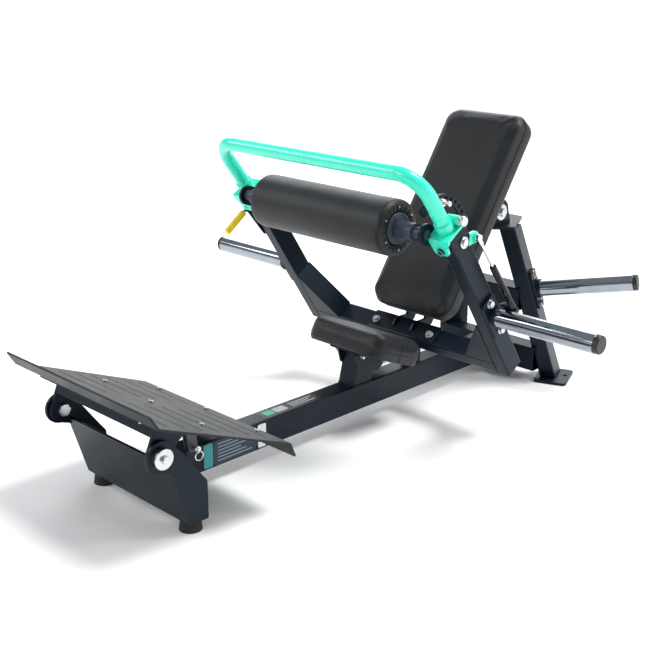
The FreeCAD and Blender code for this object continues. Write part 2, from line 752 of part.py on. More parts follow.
def arm_head():
    """Solid rounded top of the arm, bored for the gate's hinge pin."""
    low = arm_at(0, ARM_TUBE, -ARM_HALF_DEPTH)
    rear = arm_at(0, ARM_TUBE, ARM_HALF_DEPTH)
    hub = V(0, GATE_Y, GATE_Z)
    top_rear = hub + ARM_BACK * HEAD_RADIUS
    top_front = hub - ARM_BACK * HEAD_RADIUS
    block = plate_x([(low.y, low.z), (rear.y, rear.z), (top_rear.y, top_rear.z),
                     (top_front.y, top_front.z)], ARM_INNER, ARM_OUTER)
    block = block.fuse(rod_x(HEAD_RADIUS, ARM_INNER, ARM_OUTER, GATE_Y, GATE_Z)).removeSplitter()
    return block.cut(rod_x(GATE_PIN, 300, 420, GATE_Y, GATE_Z))


def sector_point(radius, angle):
    """Point about the gate's hinge, angle from upright and positive to the rear."""
    a = math.radians(angle)
    return V(SECTOR_X, GATE_Y + radius * math.sin(a), GATE_Z + radius * math.cos(a))


def index_sector():
    """Ring sector with the lock pins' holes, on a standoff from the arm's inner face."""
    start = -46.0
    end = 152.0
    middle = (start + end) / 2
    edges = [
        Part.Arc(sector_point(SECTOR_OUTER, start), sector_point(SECTOR_OUTER, middle),
                 sector_point(SECTOR_OUTER, end)).toShape(),
        Part.makeLine(sector_point(SECTOR_OUTER, end), sector_point(SECTOR_INNER, end)),
        Part.Arc(sector_point(SECTOR_INNER, end), sector_point(SECTOR_INNER, middle),
                 sector_point(SECTOR_INNER, start)).toShape(),
        Part.makeLine(sector_point(SECTOR_INNER, start), sector_point(SECTOR_OUTER, start)),
    ]
    plate = Part.Face(Part.Wire(edges)).extrude(V(8, 0, 0))
    for step in range(INDEX_COUNT):
        hole = sector_point(INDEX_RADIUS, INDEX_START + INDEX_STEP * step)
        plate = plate.cut(rod(LOCK_HOLE, hole - V(10, 0, 0), hole + V(20, 0, 0)))
    foot = sector_point(INDEX_RADIUS, 147.0)
    standoff = rod(9.0, foot + V(8, 0, 0), foot + V(ARM_INNER - SECTOR_X, 0, 0))
    return fused(plate, standoff)


def cross_beam():
    back = ARM_HALF_DEPTH
    beam = tube_section([arm_at(-ARM_INNER, 0, -back), arm_at(-ARM_INNER, CROSS_HEIGHT, -back),
                         arm_at(-ARM_INNER, CROSS_HEIGHT, back), arm_at(-ARM_INNER, 0, back)],
                        V(2 * ARM_INNER, 0, 0), WALL)
    for x in (-BRACKET_BOLT_X, BRACKET_BOLT_X):
        beam = beam.cut(rod(6.2, arm_at(x, -1, -6), arm_at(x, CROSS_HEIGHT + 1, -6)))
    return beam


def corner_box():
    """Boxed corner between the cross beam and an arm, open towards both."""
    back = ARM_HALF_DEPTH
    faces = []
    for depth in (-back, back - 5):
        faces.append(prism([arm_at(FLARE_X, CROSS_HEIGHT, depth), arm_at(ARM_INNER, CROSS_HEIGHT, depth),
                            arm_at(ARM_INNER, FLARE_TOP, depth)], ARM_BACK * 5))
    skin = prism([arm_at(FLARE_X, CROSS_HEIGHT, -back), arm_at(FLARE_X + 9, CROSS_HEIGHT, -back),
                  arm_at(ARM_INNER, FLARE_TOP - 14, -back), arm_at(ARM_INNER, FLARE_TOP, -back)],
                 ARM_BACK * (2 * back))
    return fused(faces[0], faces[1], skin)


def horn_centre(x):
    return arm_at(x, HORN_ALONG, 0)


def horn_plate():
    corners = []
    for along, back in ((-62, -27), (62, -27), (62, 27), (-62, 27)):
        corners.append(arm_at(ARM_OUTER, HORN_ALONG + along, back))
    plate = prism(corners, V(8, 0, 0), 10)
    for end in (-1, 1):
        hole = arm_at(ARM_OUTER - 1, HORN_ALONG + 48 * end, 0)
        plate = plate.cut(rod(6.2, hole, hole + V(12, 0, 0)))
    return plate


def horn_bolts():
    bolts = []
    for end in (-1, 1):
        bolts.append(bolt(M12_HEAD, arm_at(ARM_OUTER + 8, HORN_ALONG + 48 * end, 0), X_AXIS, 7.0, 8.0))
    return Part.makeCompound(bolts)


def weight_horn():
    root_end = horn_centre(ARM_OUTER + 8 + COLLAR_LENGTH)
    root = rod(HORN_SPIGOT, horn_centre(ARM_OUTER + 8), root_end)
    return fused(root, rod(HORN_RADIUS, root_end, horn_centre(HORN_TIP - HORN_CAP)))


def horn_cap():
    cap = rod(HORN_SPIGOT, horn_centre(HORN_TIP - HORN_CAP), horn_centre(HORN_TIP))
    return cap.makeFillet(4.0, [cap.Edges[0]])


def horn_collar():
    ring = rod(COLLAR_RADIUS, horn_centre(ARM_OUTER + 8), horn_centre(ARM_OUTER + 8 + COLLAR_LENGTH))
    return ring.cut(rod(HORN_SPIGOT, horn_centre(ARM_OUTER), horn_centre(ARM_OUTER + 60)))


node("arm_right", mirrored(fused(arm(), arm_head())))
node("index_sector", index_sector())
node("cross_beam", cross_beam())
node("corner_boxes", both_sides(corner_box()))
node("horn_mounts", both_sides(fused(horn_plate(), horn_collar())))
node("weight_horns", both_sides(weight_horn()))
node("horn_caps", both_sides(horn_cap()))


# ---- lever: back pad, spine and main hinge ------------------------------------------
SPINE_IN = PAD_THICK + PAD_BOARD + 0.2
SPINE_OUT = SPINE_IN + SPINE_DEPTH
SPINE_TOP = 470.0


def back_pad():
    corners = [pad_at(-PAD_HALF, 0), pad_at(PAD_HALF, 0), pad_at(PAD_HALF, PAD_LENGTH),
               pad_at(-PAD_HALF, PAD_LENGTH)]
    return prism(corners, PAD_BACK * (PAD_THICK - 0.3), 48)


def back_board():
    edge = PAD_HALF - 8
    corners = [pad_at(-edge, 8, PAD_THICK), pad_at(edge, 8, PAD_THICK),
               pad_at(edge, PAD_LENGTH - 8, PAD_THICK), pad_at(-edge, PAD_LENGTH - 8, PAD_THICK)]
    board = prism(corners, PAD_BACK * PAD_BOARD, 40)
    for x, a in PAD_BOLTS:
        board = board.cut(rod(4.3, pad_at(x, a, PAD_THICK - 1), pad_at(x, a, PAD_THICK + PAD_BOARD + 1)))
    return board


PAD_BOLTS = [(x, a) for x in (-60.0, 60.0) for a in (110.0, 440.0)]


def spine():
    corners = [pad_at(-SPINE_HALF, 12, SPINE_IN), pad_at(SPINE_HALF, 12, SPINE_IN),
               pad_at(SPINE_HALF, 12, SPINE_OUT), pad_at(-SPINE_HALF, 12, SPINE_OUT)]
    return tube_section(corners, PAD_UP * (SPINE_TOP - 12), WALL)


def pad_straps():
    """Flat straps across the spine that the back board is bolted to."""
    straps = []
    for a in (110.0, 440.0):
        for side in (-1, 1):
            corners = [pad_at(side * SPINE_HALF, a - 20, SPINE_IN), pad_at(side * 84, a - 20, SPINE_IN),
                       pad_at(side * 84, a + 20, SPINE_IN), pad_at(side * SPINE_HALF, a + 20, SPINE_IN)]
            strap = prism(corners, PAD_BACK * 6, [0.5, 8, 8, 0.5])
            straps.append(strap.cut(rod(4.3, pad_at(side * 60, a, 60), pad_at(side * 60, a, 100))))
    return straps


def pad_bolts():
    bolts = []
    for x, a in PAD_BOLTS:
        bolts.append(bolt(M8_HEAD, pad_at(x, a, SPINE_IN + 6), PAD_BACK, 5.0, 16.0))
    return Part.makeCompound(bolts)


def spine_bracket():
    """Bolted saddle on the cross beam with two cheeks that clasp the spine."""
    top = CROSS_HEIGHT
    base = prism([arm_at(-125, top, -28), arm_at(125, top, -28), arm_at(125, top, 29),
                  arm_at(-125, top, 29)], ARM_UP * 8, 6)
    for x in (-BRACKET_BOLT_X, BRACKET_BOLT_X):
        base = base.cut(rod(6.2, arm_at(x, top - 1, -6), arm_at(x, top + 9, -6)))
    parts = [base]
    for side in (-1, 1):
        x0 = side * SPINE_HALF if side > 0 else -SPINE_HALF - 8
        points = [arm_at(0, top + 7, -20), arm_at(0, top + 7, 30.3), arm_at(0, 12, 30.3),
                  pad_at(0, -4, SPINE_OUT), pad_at(0, 84, SPINE_OUT), pad_at(0, 84, SPINE_IN + 2),
                  pad_at(0, -3, SPINE_IN + 2), arm_at(0, top + 20, 10)]
        parts.append(plate_x([(p.y, p.z) for p in points], x0, x0 + 8, [2, 0, 4, 8, 8, 8, 4, 6]))
    return fused(*parts)


def bracket_bolts():
    """Two through bolts, with their nuts under the cross beam."""
    bolts = []
    for x in (-BRACKET_BOLT_X, BRACKET_BOLT_X):
        bolts.append(bolt(M12_HEAD, arm_at(x, CROSS_HEIGHT + 8, -6), ARM_UP, 7.0, CROSS_HEIGHT + 6.0))
        bolts.append(hex_head(M12_HEAD, arm_at(x, -9.0, -6), arm_at(x, 0, -6)))
    return Part.makeCompound(bolts)


def lever_hub():
    """Hub round the lever's shaft and the two webs that tie it to the spine."""
    hub = rod_x(24.0, -CHEEK_INNER + 3, CHEEK_INNER - 3, LEVER_Y, LEVER_Z)
    parts = [hub]
    for x0 in (SPINE_HALF, -SPINE_HALF - 10):
        points = [pad_at(0, 336, SPINE_IN + 6), pad_at(0, 336, SPINE_OUT)]
        points += [pad_at(0, 353, SPINE_OUT + 44), pad_at(0, 412, SPINE_OUT + 44)]
        points += [pad_at(0, 452, SPINE_OUT), pad_at(0, 452, SPINE_IN + 6)]
        parts.append(plate_x([(p.y, p.z) for p in points], x0, x0 + 10, [4, 4, 26, 26, 4, 4]))
    return fused(*parts).cut(rod_x(LEVER_SHAFT, -300, 300, LEVER_Y, LEVER_Z))


def lever_shaft():
    shaft = rod_x(LEVER_SHAFT, -CHEEK_OUTER - 4, CHEEK_OUTER + 4, LEVER_Y, LEVER_Z)
    washer = rod_x(24.0, CHEEK_OUTER + GAP, CHEEK_OUTER + 4, LEVER_Y, LEVER_Z)
    head = hex_head(13.0, V(CHEEK_OUTER + 4, LEVER_Y, LEVER_Z), V(CHEEK_OUTER + 13, LEVER_Y, LEVER_Z))
    return fused(shaft, washer, head, mirrored(washer), mirrored(head))


node("back_pad", back_pad())
node("back_board", back_board())
node("spine", fused(spine(), lever_hub(), *pad_straps()))
node("pad_bolts", pad_bolts())
node("spine_bracket", spine_bracket())
node("lever_bolts", Part.makeCompound([both_sides(horn_bolts()), bracket_bolts()]))
node("lever_shaft", lever_shaft())


# ---- lever stop on the main beam -------------------------------------------------------
def stop_post():
    """Post whose sloping top carries the rubber stop under the cross beam."""
    low = arm_at(0, -16, -22)
    high = arm_at(0, -16, 22)
    return plate_x([(low.y, BEAM_TOP), (high.y, BEAM_TOP), (high.y, high.z), (low.y, low.z)], -22, 22, 0.5)


def stop_rubber():
    pad = prism([arm_at(-22, -16, -22), arm_at(22, -16, -22), arm_at(22, -16, 22), arm_at(-22, -16, 22)],
                ARM_UP * (16 - GAP), 6)
    return pad


node("main_beam", fused(main_beam(), stop_post(), flange_plate(BEAM_FRONT, BEAM_FRONT + 8).cut(
    box(-BEAM_WIDTH / 2, BEAM_WIDTH / 2, -700, 0, BEAM_BOTTOM, BEAM_TOP))))
node("stop_rubber", stop_rubber())


# ---- gate: handle, clevises and roller ---------------------------------------------
handle_at, HANDLE_UP, _ = local((HANDLE_Y, HANDLE_Z), 90 + HANDLE_LEAN, HANDLE_LEAN)
HANDLE_FOOT = 200.0
HOOD_LOW = 519.0             # hood plate's lower and upper faces along the arm
HOOD_TOP = 527.0
SHIELD_IN = -45.0            # front shield's inner and outer faces
SHIELD_OUT = -52.0
TAB_LOW = 474.0              # lower end of the shield's tab
BOSS_ALONG = 540.0           # boss with the silver bolt, on the lid's rear edge
BOSS_OUT = 12.0
AXLE_SPIGOT = 12.0


def below_hood(depth):
    """Everything under the hood's upper face, to trim the handle's feet."""
    return prism([arm_at(-500, HOOD_TOP, -200), arm_at(500, HOOD_TOP, -200), arm_at(500, HOOD_TOP, 200),
                  arm_at(-500, HOOD_TOP, 200)], ARM_UP * -depth)


def handle():
    """Round bar bent into a wide arch above the two arms."""
    bend = HANDLE_BEND
    slant = bend * (1 - math.sqrt(0.5))
    half = HANDLE_HALF
    foot = -HANDLE_FOOT
    edges = [
        Part.makeLine(handle_at(-half, foot), handle_at(-half, -bend)),
        Part.Arc(handle_at(-half, -bend), handle_at(-half + slant, -slant),
                 handle_at(-half + bend, 0)).toShape(),
        Part.makeLine(handle_at(-half + bend, 0), handle_at(half - bend, 0)),
        Part.Arc(handle_at(half - bend, 0), handle_at(half - slant, -slant),
                 handle_at(half, -bend)).toShape(),
        Part.makeLine(handle_at(half, -bend), handle_at(half, foot)),
    ]
    path = Part.Wire(edges)
    bars = []
    for radius in (HANDLE_RADIUS, HANDLE_RADIUS - 3):
        profile = Part.Wire(Part.makeCircle(radius, handle_at(-half, foot), HANDLE_UP))
        bars.append(path.makePipeShell([profile], True, True))
    return bars[0].cut(bars[1]).cut(below_hood(150))


def handle_collar():
    ring = rod(HANDLE_RADIUS + 4, handle_at(HANDLE_HALF, -HANDLE_FOOT), handle_at(HANDLE_HALF, -152))
    bore = rod(HANDLE_RADIUS, handle_at(HANDLE_HALF, -HANDLE_FOOT - 30), handle_at(HANDLE_HALF, -100))
    return ring.cut(bore).cut(below_hood(150))


def hood():
    """Lid over the arm's head with a narrow tab bent down in front of it."""
    x0 = CHEEK_IN
    x1 = CHEEK_OUT + CHEEK_PLATE
    lid = prism([arm_at(x0, HOOD_LOW, SHIELD_OUT), arm_at(x1, HOOD_LOW, SHIELD_OUT),
                 arm_at(x1, HOOD_LOW, 24), arm_at(x0, HOOD_LOW, 24)],
                ARM_UP * (HOOD_TOP - HOOD_LOW), [3, 3, 6, 6])
    shield = prism([arm_at(x0, HOOD_TOP, SHIELD_OUT), arm_at(x1, HOOD_TOP, SHIELD_OUT),
                    arm_at(x1, 515, SHIELD_OUT), arm_at(383, 500, SHIELD_OUT),
                    arm_at(380, TAB_LOW, SHIELD_OUT), arm_at(338, TAB_LOW, SHIELD_OUT),
                    arm_at(334, 500, SHIELD_OUT), arm_at(x0, 515, SHIELD_OUT)],
                   ARM_BACK * (SHIELD_IN - SHIELD_OUT), [0.5, 0.5, 6, 8, 10, 10, 8, 6])
    centre = arm_at(BUMPER_X, BUMPER_ALONG, 0)
    bolt_hole = rod(4.1, centre + ARM_BACK * (SHIELD_OUT - 5), centre + ARM_BACK * (SHIELD_IN + 5))
    axle_notch = rod_x(AXLE_SPIGOT + 0.3, CHEEK_IN - 5, CHEEK_IN + CHEEK_PLATE + 5, ROLLER_Y, ROLLER_Z)
    return fused(lid, shield).cut(bolt_hole).cut(axle_notch)


def side_web(x0):
    """Cheek between the lid and the hinge."""
    points = [arm_at(0, HOOD_LOW, -44), arm_at(0, HOOD_LOW, 20), arm_at(0, 483, 24), arm_at(0, 462, 8),
              arm_at(0, 462, -14), arm_at(0, 500, -44)]
    return plate_x([(p.y, p.z) for p in points], x0, x0 + CHEEK_PLATE, [0.5, 2, 20, 12, 12, 8])


def inner_cheek():
    """Inboard cheek, which also carries the roller's axle."""
    axle_arm = slot_plate((ROLLER_Y, ROLLER_Z), (GATE_Y, GATE_Z), 27.0, CHEEK_IN, CHEEK_IN + CHEEK_PLATE)
    cheek = fused(axle_arm, side_web(CHEEK_IN)).cut(hood())
    cheek = cheek.cut(rod_x(GATE_PIN + RUNNING, 300, 430, GATE_Y, GATE_Z))
    return cheek.cut(rod_x(AXLE_SPIGOT, CHEEK_IN - 5, CHEEK_IN + CHEEK_PLATE + 5, ROLLER_Y, ROLLER_Z))


def lock_cheek():
    """Left inboard cheek with the lobe for the lock pin's barrel."""
    lock = sector_point(INDEX_RADIUS, INDEX_START)
    lobe = slot_plate((GATE_Y, GATE_Z), (lock.y, lock.z), 15.0, CHEEK_IN, CHEEK_IN + CHEEK_PLATE)
    lobe = lobe.cut(rod_x(LOCK_PIN + RUNNING, 300, CHEEK_IN + CHEEK_PLATE + 1, lock.y, lock.z))
    lobe = lobe.cut(rod_x(GATE_PIN + RUNNING, 300, 430, GATE_Y, GATE_Z)).cut(hood())
    return fused(inner_cheek(), lobe)


def outer_cheek():
    cheek = fused(side_web(CHEEK_OUT), rod_x(20.0, CHEEK_OUT, CHEEK_OUT + CHEEK_PLATE, GATE_Y, GATE_Z))
    return cheek.cut(rod_x(GATE_PIN + RUNNING, 300, 430, GATE_Y, GATE_Z))


def gas_spring_lug():
    """Painted lug behind the left outer cheek, with the stud beside the gas spring's eye."""
    x1 = CHEEK_OUT + CHEEK_PLATE
    lug = slot_plate((GATE_Y, GATE_Z), (SPRING_TOP_Y, SPRING_TOP_Z), 15.0, CHEEK_OUT, x1).cut(outer_cheek())
    lug = lug.cut(rod_x(GATE_PIN + 2, 300, 430, GATE_Y, GATE_Z))
    return fused(lug, rod_x(6.0, x1, SPRING_X - EYE_HALF - GAP, SPRING_TOP_Y, SPRING_TOP_Z))


def boss_rod(radius, x0, x1):
    """Rod along X on the rear edge of the left lid."""
    return rod(radius, arm_at(x0, BOSS_ALONG, BOSS_OUT), arm_at(x1, BOSS_ALONG, BOSS_OUT))


def lid_boss():
    around_handle = rod(HANDLE_RADIUS + 4, handle_at(HANDLE_HALF, -HANDLE_FOOT - 30),
                        handle_at(HANDLE_HALF, -100))
    return boss_rod(12.0, HANDLE_HALF - 6, 392.0).cut(around_handle).cut(boss_rod(4.0, 380.0, 400.0))


def boss_bolt():
    """Washer, sleeve and domed cap on the end of the lid's boss."""
    parts = [boss_rod(4.0, 381.0, 394.0), boss_rod(11.0, 392.0, 395.0), boss_rod(7.5, 395.0, 403.0)]
    disc = boss_rod(13.0, 403.0, 409.0)
    parts.append(disc.makeFillet(2.5, [disc.Edges[0]]))
    return fused(*parts)


BARREL_END = 348.0
BUMPER_X = 360.0
BUMPER_ALONG = 488.0


def bumper():
    """Rubber stop on the tab, with its bolt's socket head in front."""
    centre = arm_at(BUMPER_X, BUMPER_ALONG, 0)
    rubber = rod(11.0, centre + ARM_BACK * SHIELD_IN, centre + ARM_BACK * -35.4)
    head = rod(10.5, centre + ARM_BACK * (SHIELD_OUT - 6), centre + ARM_BACK * SHIELD_OUT)
    head = head.cut(rod(5.0, centre + ARM_BACK * (SHIELD_OUT - 7), centre + ARM_BACK * (SHIELD_OUT - 3)))
    stem = rod(4.0, centre + ARM_BACK * SHIELD_OUT, centre + ARM_BACK * SHIELD_IN)
    return fused(rubber, head, stem)


def gate_pin():
    """Hinge pin pressed into the arm's head, turned down under its two washers."""
    x1 = CHEEK_OUT + CHEEK_PLATE
    pin = rod_x(GATE_PIN, CHEEK_IN - 6, x1 + GAP + 3, GATE_Y, GATE_Z)
    washer = rod_x(15.0, x1 + GAP, x1 + 3, GATE_Y, GATE_Z)
    head = hex_head(10.0, V(x1 + 3, GATE_Y, GATE_Z), V(x1 + 8, GATE_Y, GATE_Z))
    clip = rod_x(13.0, CHEEK_IN - 3, CHEEK_IN - GAP, GATE_Y, GATE_Z)
    return fused(pin, washer, head, clip)


def plunger_barrel():
    lock = sector_point(INDEX_RADIUS, INDEX_START)
    barrel = rod_x(9.0, CHEEK_IN + CHEEK_PLATE, BARREL_END, lock.y, lock.z)
    return barrel.cut(rod_x(LOCK_PIN + RUNNING, 300, 400, lock.y, lock.z))


def lock_pin():
    """Spring plunger pin, drawn back so that its tip clears the sector."""
    lock = sector_point(INDEX_RADIUS, INDEX_START)
    tip = SECTOR_X + 8.0 + 1.0
    knob = BARREL_END + LOCK_TRAVEL + 1.0
    return fused(rod_x(LOCK_PIN, tip, knob, lock.y, lock.z), rod_x(6.5, knob, knob + 5, lock.y, lock.z))


def roller_axle():
    core = rod_x(ROLLER_SHAFT, -CHEEK_IN, CHEEK_IN, ROLLER_Y, ROLLER_Z)
    spigot = rod_x(AXLE_SPIGOT, CHEEK_IN, CHEEK_IN + CHEEK_PLATE + 2, ROLLER_Y, ROLLER_Z)
    sleeve = rod_x(22.5, ROLLER_HALF + 1, 296.0, ROLLER_Y, ROLLER_Z)
    return fused(core, spigot, mirrored(spigot), sleeve, mirrored(sleeve))


def roller_pad():
    pad = rod_x(ROLLER_RADIUS, -ROLLER_HALF, ROLLER_HALF, ROLLER_Y, ROLLER_Z)
    return pad.cut(rod_x(38.0, -300, 300, ROLLER_Y, ROLLER_Z))


def roller_core():
    """Steel tube with a welded end plate and a bearing seat at each end."""
    tube = rod_x(38.0, -ROLLER_HALF, ROLLER_HALF, ROLLER_Y, ROLLER_Z)
    tube = tube.cut(rod_x(34.0, -300, 300, ROLLER_Y, ROLLER_Z))
    plate = rod_x(34.0, ROLLER_HALF - 16, ROLLER_HALF - 2, ROLLER_Y, ROLLER_Z)
    plate = plate.cut(rod_x(21.0, 100, 300, ROLLER_Y, ROLLER_Z))
    return fused(tube, plate, mirrored(plate))


def roller_bearing():
    ring = rod_x(21.0, ROLLER_HALF - 16, ROLLER_HALF - 4, ROLLER_Y, ROLLER_Z)
    return ring.cut(rod_x(ROLLER_SHAFT + RUNNING, 100, 300, ROLLER_Y, ROLLER_Z))


node("handle", handle())
node("handle_collars", both_sides(handle_collar()))
node("gate_pins", both_sides(gate_pin()))
node("gate_bumper", bumper())
node("gate_fittings", Part.makeCompound([plunger_barrel(), boss_bolt()]))
node("lock_pin", lock_pin())
node("roller_axle", roller_axle())
node("roller_core", roller_core())
node("roller_bearings", both_sides(roller_bearing()))
node("roller_pad", roller_pad())


# ---- gas spring ---------------------------------------------------------------------------
SPRING_TOP = V(SPRING_X, SPRING_TOP_Y, SPRING_TOP_Z)
SPRING_FOOT = V(SPRING_X, SPRING_FOOT_Y, SPRING_FOOT_Z)
SPRING_AXIS = (SPRING_TOP - SPRING_FOOT).normalize()
CYLINDER_TOP = 172.0
EYE_HALF = 6.0


def gas_cylinder():
    tube = rod(9.0, SPRING_FOOT + SPRING_AXIS * 16, SPRING_FOOT + SPRING_AXIS * CYLINDER_TOP)
    bore = rod(7.2, SPRING_FOOT + SPRING_AXIS * 22, SPRING_FOOT + SPRING_AXIS * (CYLINDER_TOP - 6))
    throat = rod(4.0 + RUNNING, SPRING_FOOT + SPRING_AXIS * 150, SPRING_FOOT + SPRING_AXIS * 210)
    eye = rod_x(10.5, SPRING_X - EYE_HALF, SPRING_X + EYE_HALF, SPRING_FOOT_Y, SPRING_FOOT_Z)
    neck = rod(6.0, SPRING_FOOT, SPRING_FOOT + SPRING_AXIS * 18)
    body = fused(tube, neck, eye).cut(bore).cut(throat)
    return body.cut(rod_x(5.0 + RUNNING, SPRING_X - 20, SPRING_X + 20, SPRING_FOOT_Y, SPRING_FOOT_Z))


def gas_rod():
    start = SPRING_FOOT + SPRING_AXIS * 120
    bar = rod(4.0, start, SPRING_TOP - SPRING_AXIS * 8)
    piston = rod(7.1, start, start + SPRING_AXIS * 10)
    eye = rod_x(9.0, SPRING_X - EYE_HALF, SPRING_X + EYE_HALF, SPRING_TOP_Y, SPRING_TOP_Z)
    collar = rod(6.0, SPRING_TOP - SPRING_AXIS * 22, SPRING_TOP - SPRING_AXIS * 6)
    return fused(bar, piston, eye, collar)


def spring_lug():
    """Lug on the rear of the arm with the stud that the gas spring turns on."""
    plate = plate_x([(SPRING_FOOT_Y - 60, SPRING_FOOT_Z - 26), (SPRING_FOOT_Y + 6, SPRING_FOOT_Z - 14),
                     (SPRING_FOOT_Y + 14, SPRING_FOOT_Z + 6), (SPRING_FOOT_Y, SPRING_FOOT_Z + 16),
                     (SPRING_FOOT_Y - 66, SPRING_FOOT_Z + 16)], 372.0, 380.0, [0.5, 10, 8, 8, 0.5])
    inside = prism([arm_at(330, 0, -60), arm_at(420, 0, -60), arm_at(420, 0, ARM_HALF_DEPTH),
                    arm_at(330, 0, ARM_HALF_DEPTH)], ARM_UP * 600)
    stud = rod_x(5.0, 372.0, SPRING_X + 7, SPRING_FOOT_Y, SPRING_FOOT_Z)
    spacer = rod_x(8.0, 380.0, SPRING_X - EYE_HALF - GAP, SPRING_FOOT_Y, SPRING_FOOT_Z)
    cap = rod_x(8.0, SPRING_X + EYE_HALF + GAP, SPRING_X + 10, SPRING_FOOT_Y, SPRING_FOOT_Z)
    return fused(plate.cut(inside), stud, spacer, cap)


node("gas_spring_cylinder", gas_cylinder())
node("gas_spring_rod", gas_rod())


node("arm_left", fused(arm(), arm_head(), spring_lug()))


# ---- release lever on the user's right -----------------------------------------------------------
RELEASE_ALONG = 456.0        # pivot of the release lever, on the bar at the arm's edge
RELEASE_OUT = -34.0
BAR_FACE = -385.5            # outer face of the dark bar
RELEASE_Y = arm_at(0, RELEASE_ALONG, RELEASE_OUT).y
RELEASE_Z = arm_at(0, RELEASE_ALONG, RELEASE_OUT).z
GRIP_X = -396.0
GRIP_AIM = V(0, -0.8, -0.6)
GRIP_LENGTH = 84.0


def latch_bar():
    """Dark bar along the right arm's front edge, with the stud that the release lever turns on."""
    bar = slot_plate((arm_at(0, 362, -24).y, arm_at(0, 362, -24).z), (RELEASE_Y, RELEASE_Z), 9.0,
                     BAR_FACE, -ARM_OUTER)
    foot = bolt(6.0, V(BAR_FACE, arm_at(0, 362, -24).y, arm_at(0, 362, -24).z), X_AXIS * -1, 4.0, 1.0)
    stud = rod_x(5.0, -402.0, BAR_FACE, RELEASE_Y, RELEASE_Z)
    spacer = rod_x(8.0, -391.0, BAR_FACE, RELEASE_Y, RELEASE_Z)
    cap = rod_x(7.0, -403.5, -401.0, RELEASE_Y, RELEASE_Z)
    return fused(bar, foot, stud, spacer, cap)


def grip_point(along):
    return V(GRIP_X, RELEASE_Y, RELEASE_Z) + GRIP_AIM * along


def release_lever():
    """Silver lever that turns on the bar's stud and carries the yellow grip."""
    hub = rod_x(9.0, -400.5, -391.0 - GAP, RELEASE_Y, RELEASE_Z)
    lever = fused(hub, rod(4.5, grip_point(0), grip_point(16)))
    return lever.cut(rod_x(5.0 + RUNNING, -430, -380, RELEASE_Y, RELEASE_Z))


def release_grip():
    grip = rod(10.0, grip_point(13), grip_point(13 + GRIP_LENGTH))
    grip = grip.makeFillet(4.0, [grip.Edges[0], grip.Edges[2]])
    return grip.cut(rod(4.5, grip_point(0), grip_point(16)))


# ---- gate plates ---------------------------------------------------------------------------------
right_cheeks = mirrored(fused(inner_cheek(), outer_cheek()))
node("clevis_left", fused(hood(), lid_boss(), gas_spring_lug()))
node("clevis_right", mirrored(hood()))
node("gate_cheeks", Part.makeCompound([lock_cheek(), outer_cheek(), right_cheeks]))
node("release_lever", release_lever())
node("release_grip", release_grip())
node("latch_bar", latch_bar())


# ---- export -----------------------------------------------------------------------------------
os.makedirs("parts", exist_ok=True)
for name, shape in NODES.items():
    shape.translated(V(0, -MIDDLE_Y, 0)).exportStep("parts/" + name + ".step")
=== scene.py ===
import json
import math
from collections import namedtuple

import bpy
from mathutils import Matrix, Vector
from mathutils import noise as mnoise
from mathutils.bvhtree import BVHTree


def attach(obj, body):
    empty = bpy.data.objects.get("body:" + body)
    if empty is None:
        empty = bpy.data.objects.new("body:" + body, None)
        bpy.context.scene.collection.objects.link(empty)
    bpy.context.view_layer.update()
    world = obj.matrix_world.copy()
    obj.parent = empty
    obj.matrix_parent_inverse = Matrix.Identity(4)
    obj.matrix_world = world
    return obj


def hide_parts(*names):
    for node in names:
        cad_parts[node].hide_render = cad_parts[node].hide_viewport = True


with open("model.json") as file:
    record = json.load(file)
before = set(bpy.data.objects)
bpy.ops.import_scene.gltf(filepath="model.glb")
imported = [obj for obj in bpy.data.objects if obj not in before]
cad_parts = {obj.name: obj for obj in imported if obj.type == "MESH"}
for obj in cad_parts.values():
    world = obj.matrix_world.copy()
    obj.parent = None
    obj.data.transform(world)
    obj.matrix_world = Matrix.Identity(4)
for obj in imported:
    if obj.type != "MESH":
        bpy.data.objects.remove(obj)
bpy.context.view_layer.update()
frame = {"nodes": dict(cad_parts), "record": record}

# Hip thrust machine: looks. Metres, in the frame of the CAD model: x to the left
# of a user who sits on it, y to the rear, z up. Each section makes one group of pieces.

NODES = frame["nodes"]
SCENE = bpy.context.scene
MATERIALS = {}                       # by name; new_material fills it
X_AXIS = Vector((1, 0, 0))
Y_AXIS = Vector((0, 1, 0))
Z_AXIS = Vector((0, 0, 1))

MIDDLE = 0.01792                     # a y from part.py's drawing, less this, is a y here

BEAM_TOP = 0.117
BEAM_HALF = 0.030

LEVER_LEAN = math.radians(33.0)      # U frame, leaning forward
LEVER_UP = Vector((0, -math.sin(LEVER_LEAN), math.cos(LEVER_LEAN)))
LEVER_BACK = Vector((0, math.cos(LEVER_LEAN), math.sin(LEVER_LEAN)))
LEVER_ORIGIN = Vector((0, 0.324 - MIDDLE, 0.1938))

PAD_LEAN = math.radians(34.0)        # back pad, from upright
SEAT_SLOPE = math.radians(22.0)      # seat pad, falling to the rear
BOARD_WRAP = 0.0115                  # the covers reach down round the pads' boards

ROLLER_CENTRE = Vector((0.0, -0.008 - MIDDLE, 0.616))
ROLLER_HALF = 0.240
ROLLER_RADIUS = 0.0725


# ---- camera ---------------------------------------------------------------
def make_camera():
    """The view of the photograph."""
    azimuth = math.radians(45.0)
    elevation = math.radians(18.4)
    data = bpy.data.cameras.new("camera")
    data.lens = 62.25
    data.sensor_width = 36.0
    camera = bpy.data.objects.new("camera", data)
    SCENE.collection.objects.link(camera)
    camera.location = (2.035, -2.061 - MIDDLE, 1.269)
    look = Vector((-math.sin(azimuth) * math.cos(elevation),
                   math.cos(azimuth) * math.cos(elevation), -math.sin(elevation)))
    camera.rotation_euler = look.to_track_quat("-Z", "Y").to_euler()
    SCENE.camera = camera


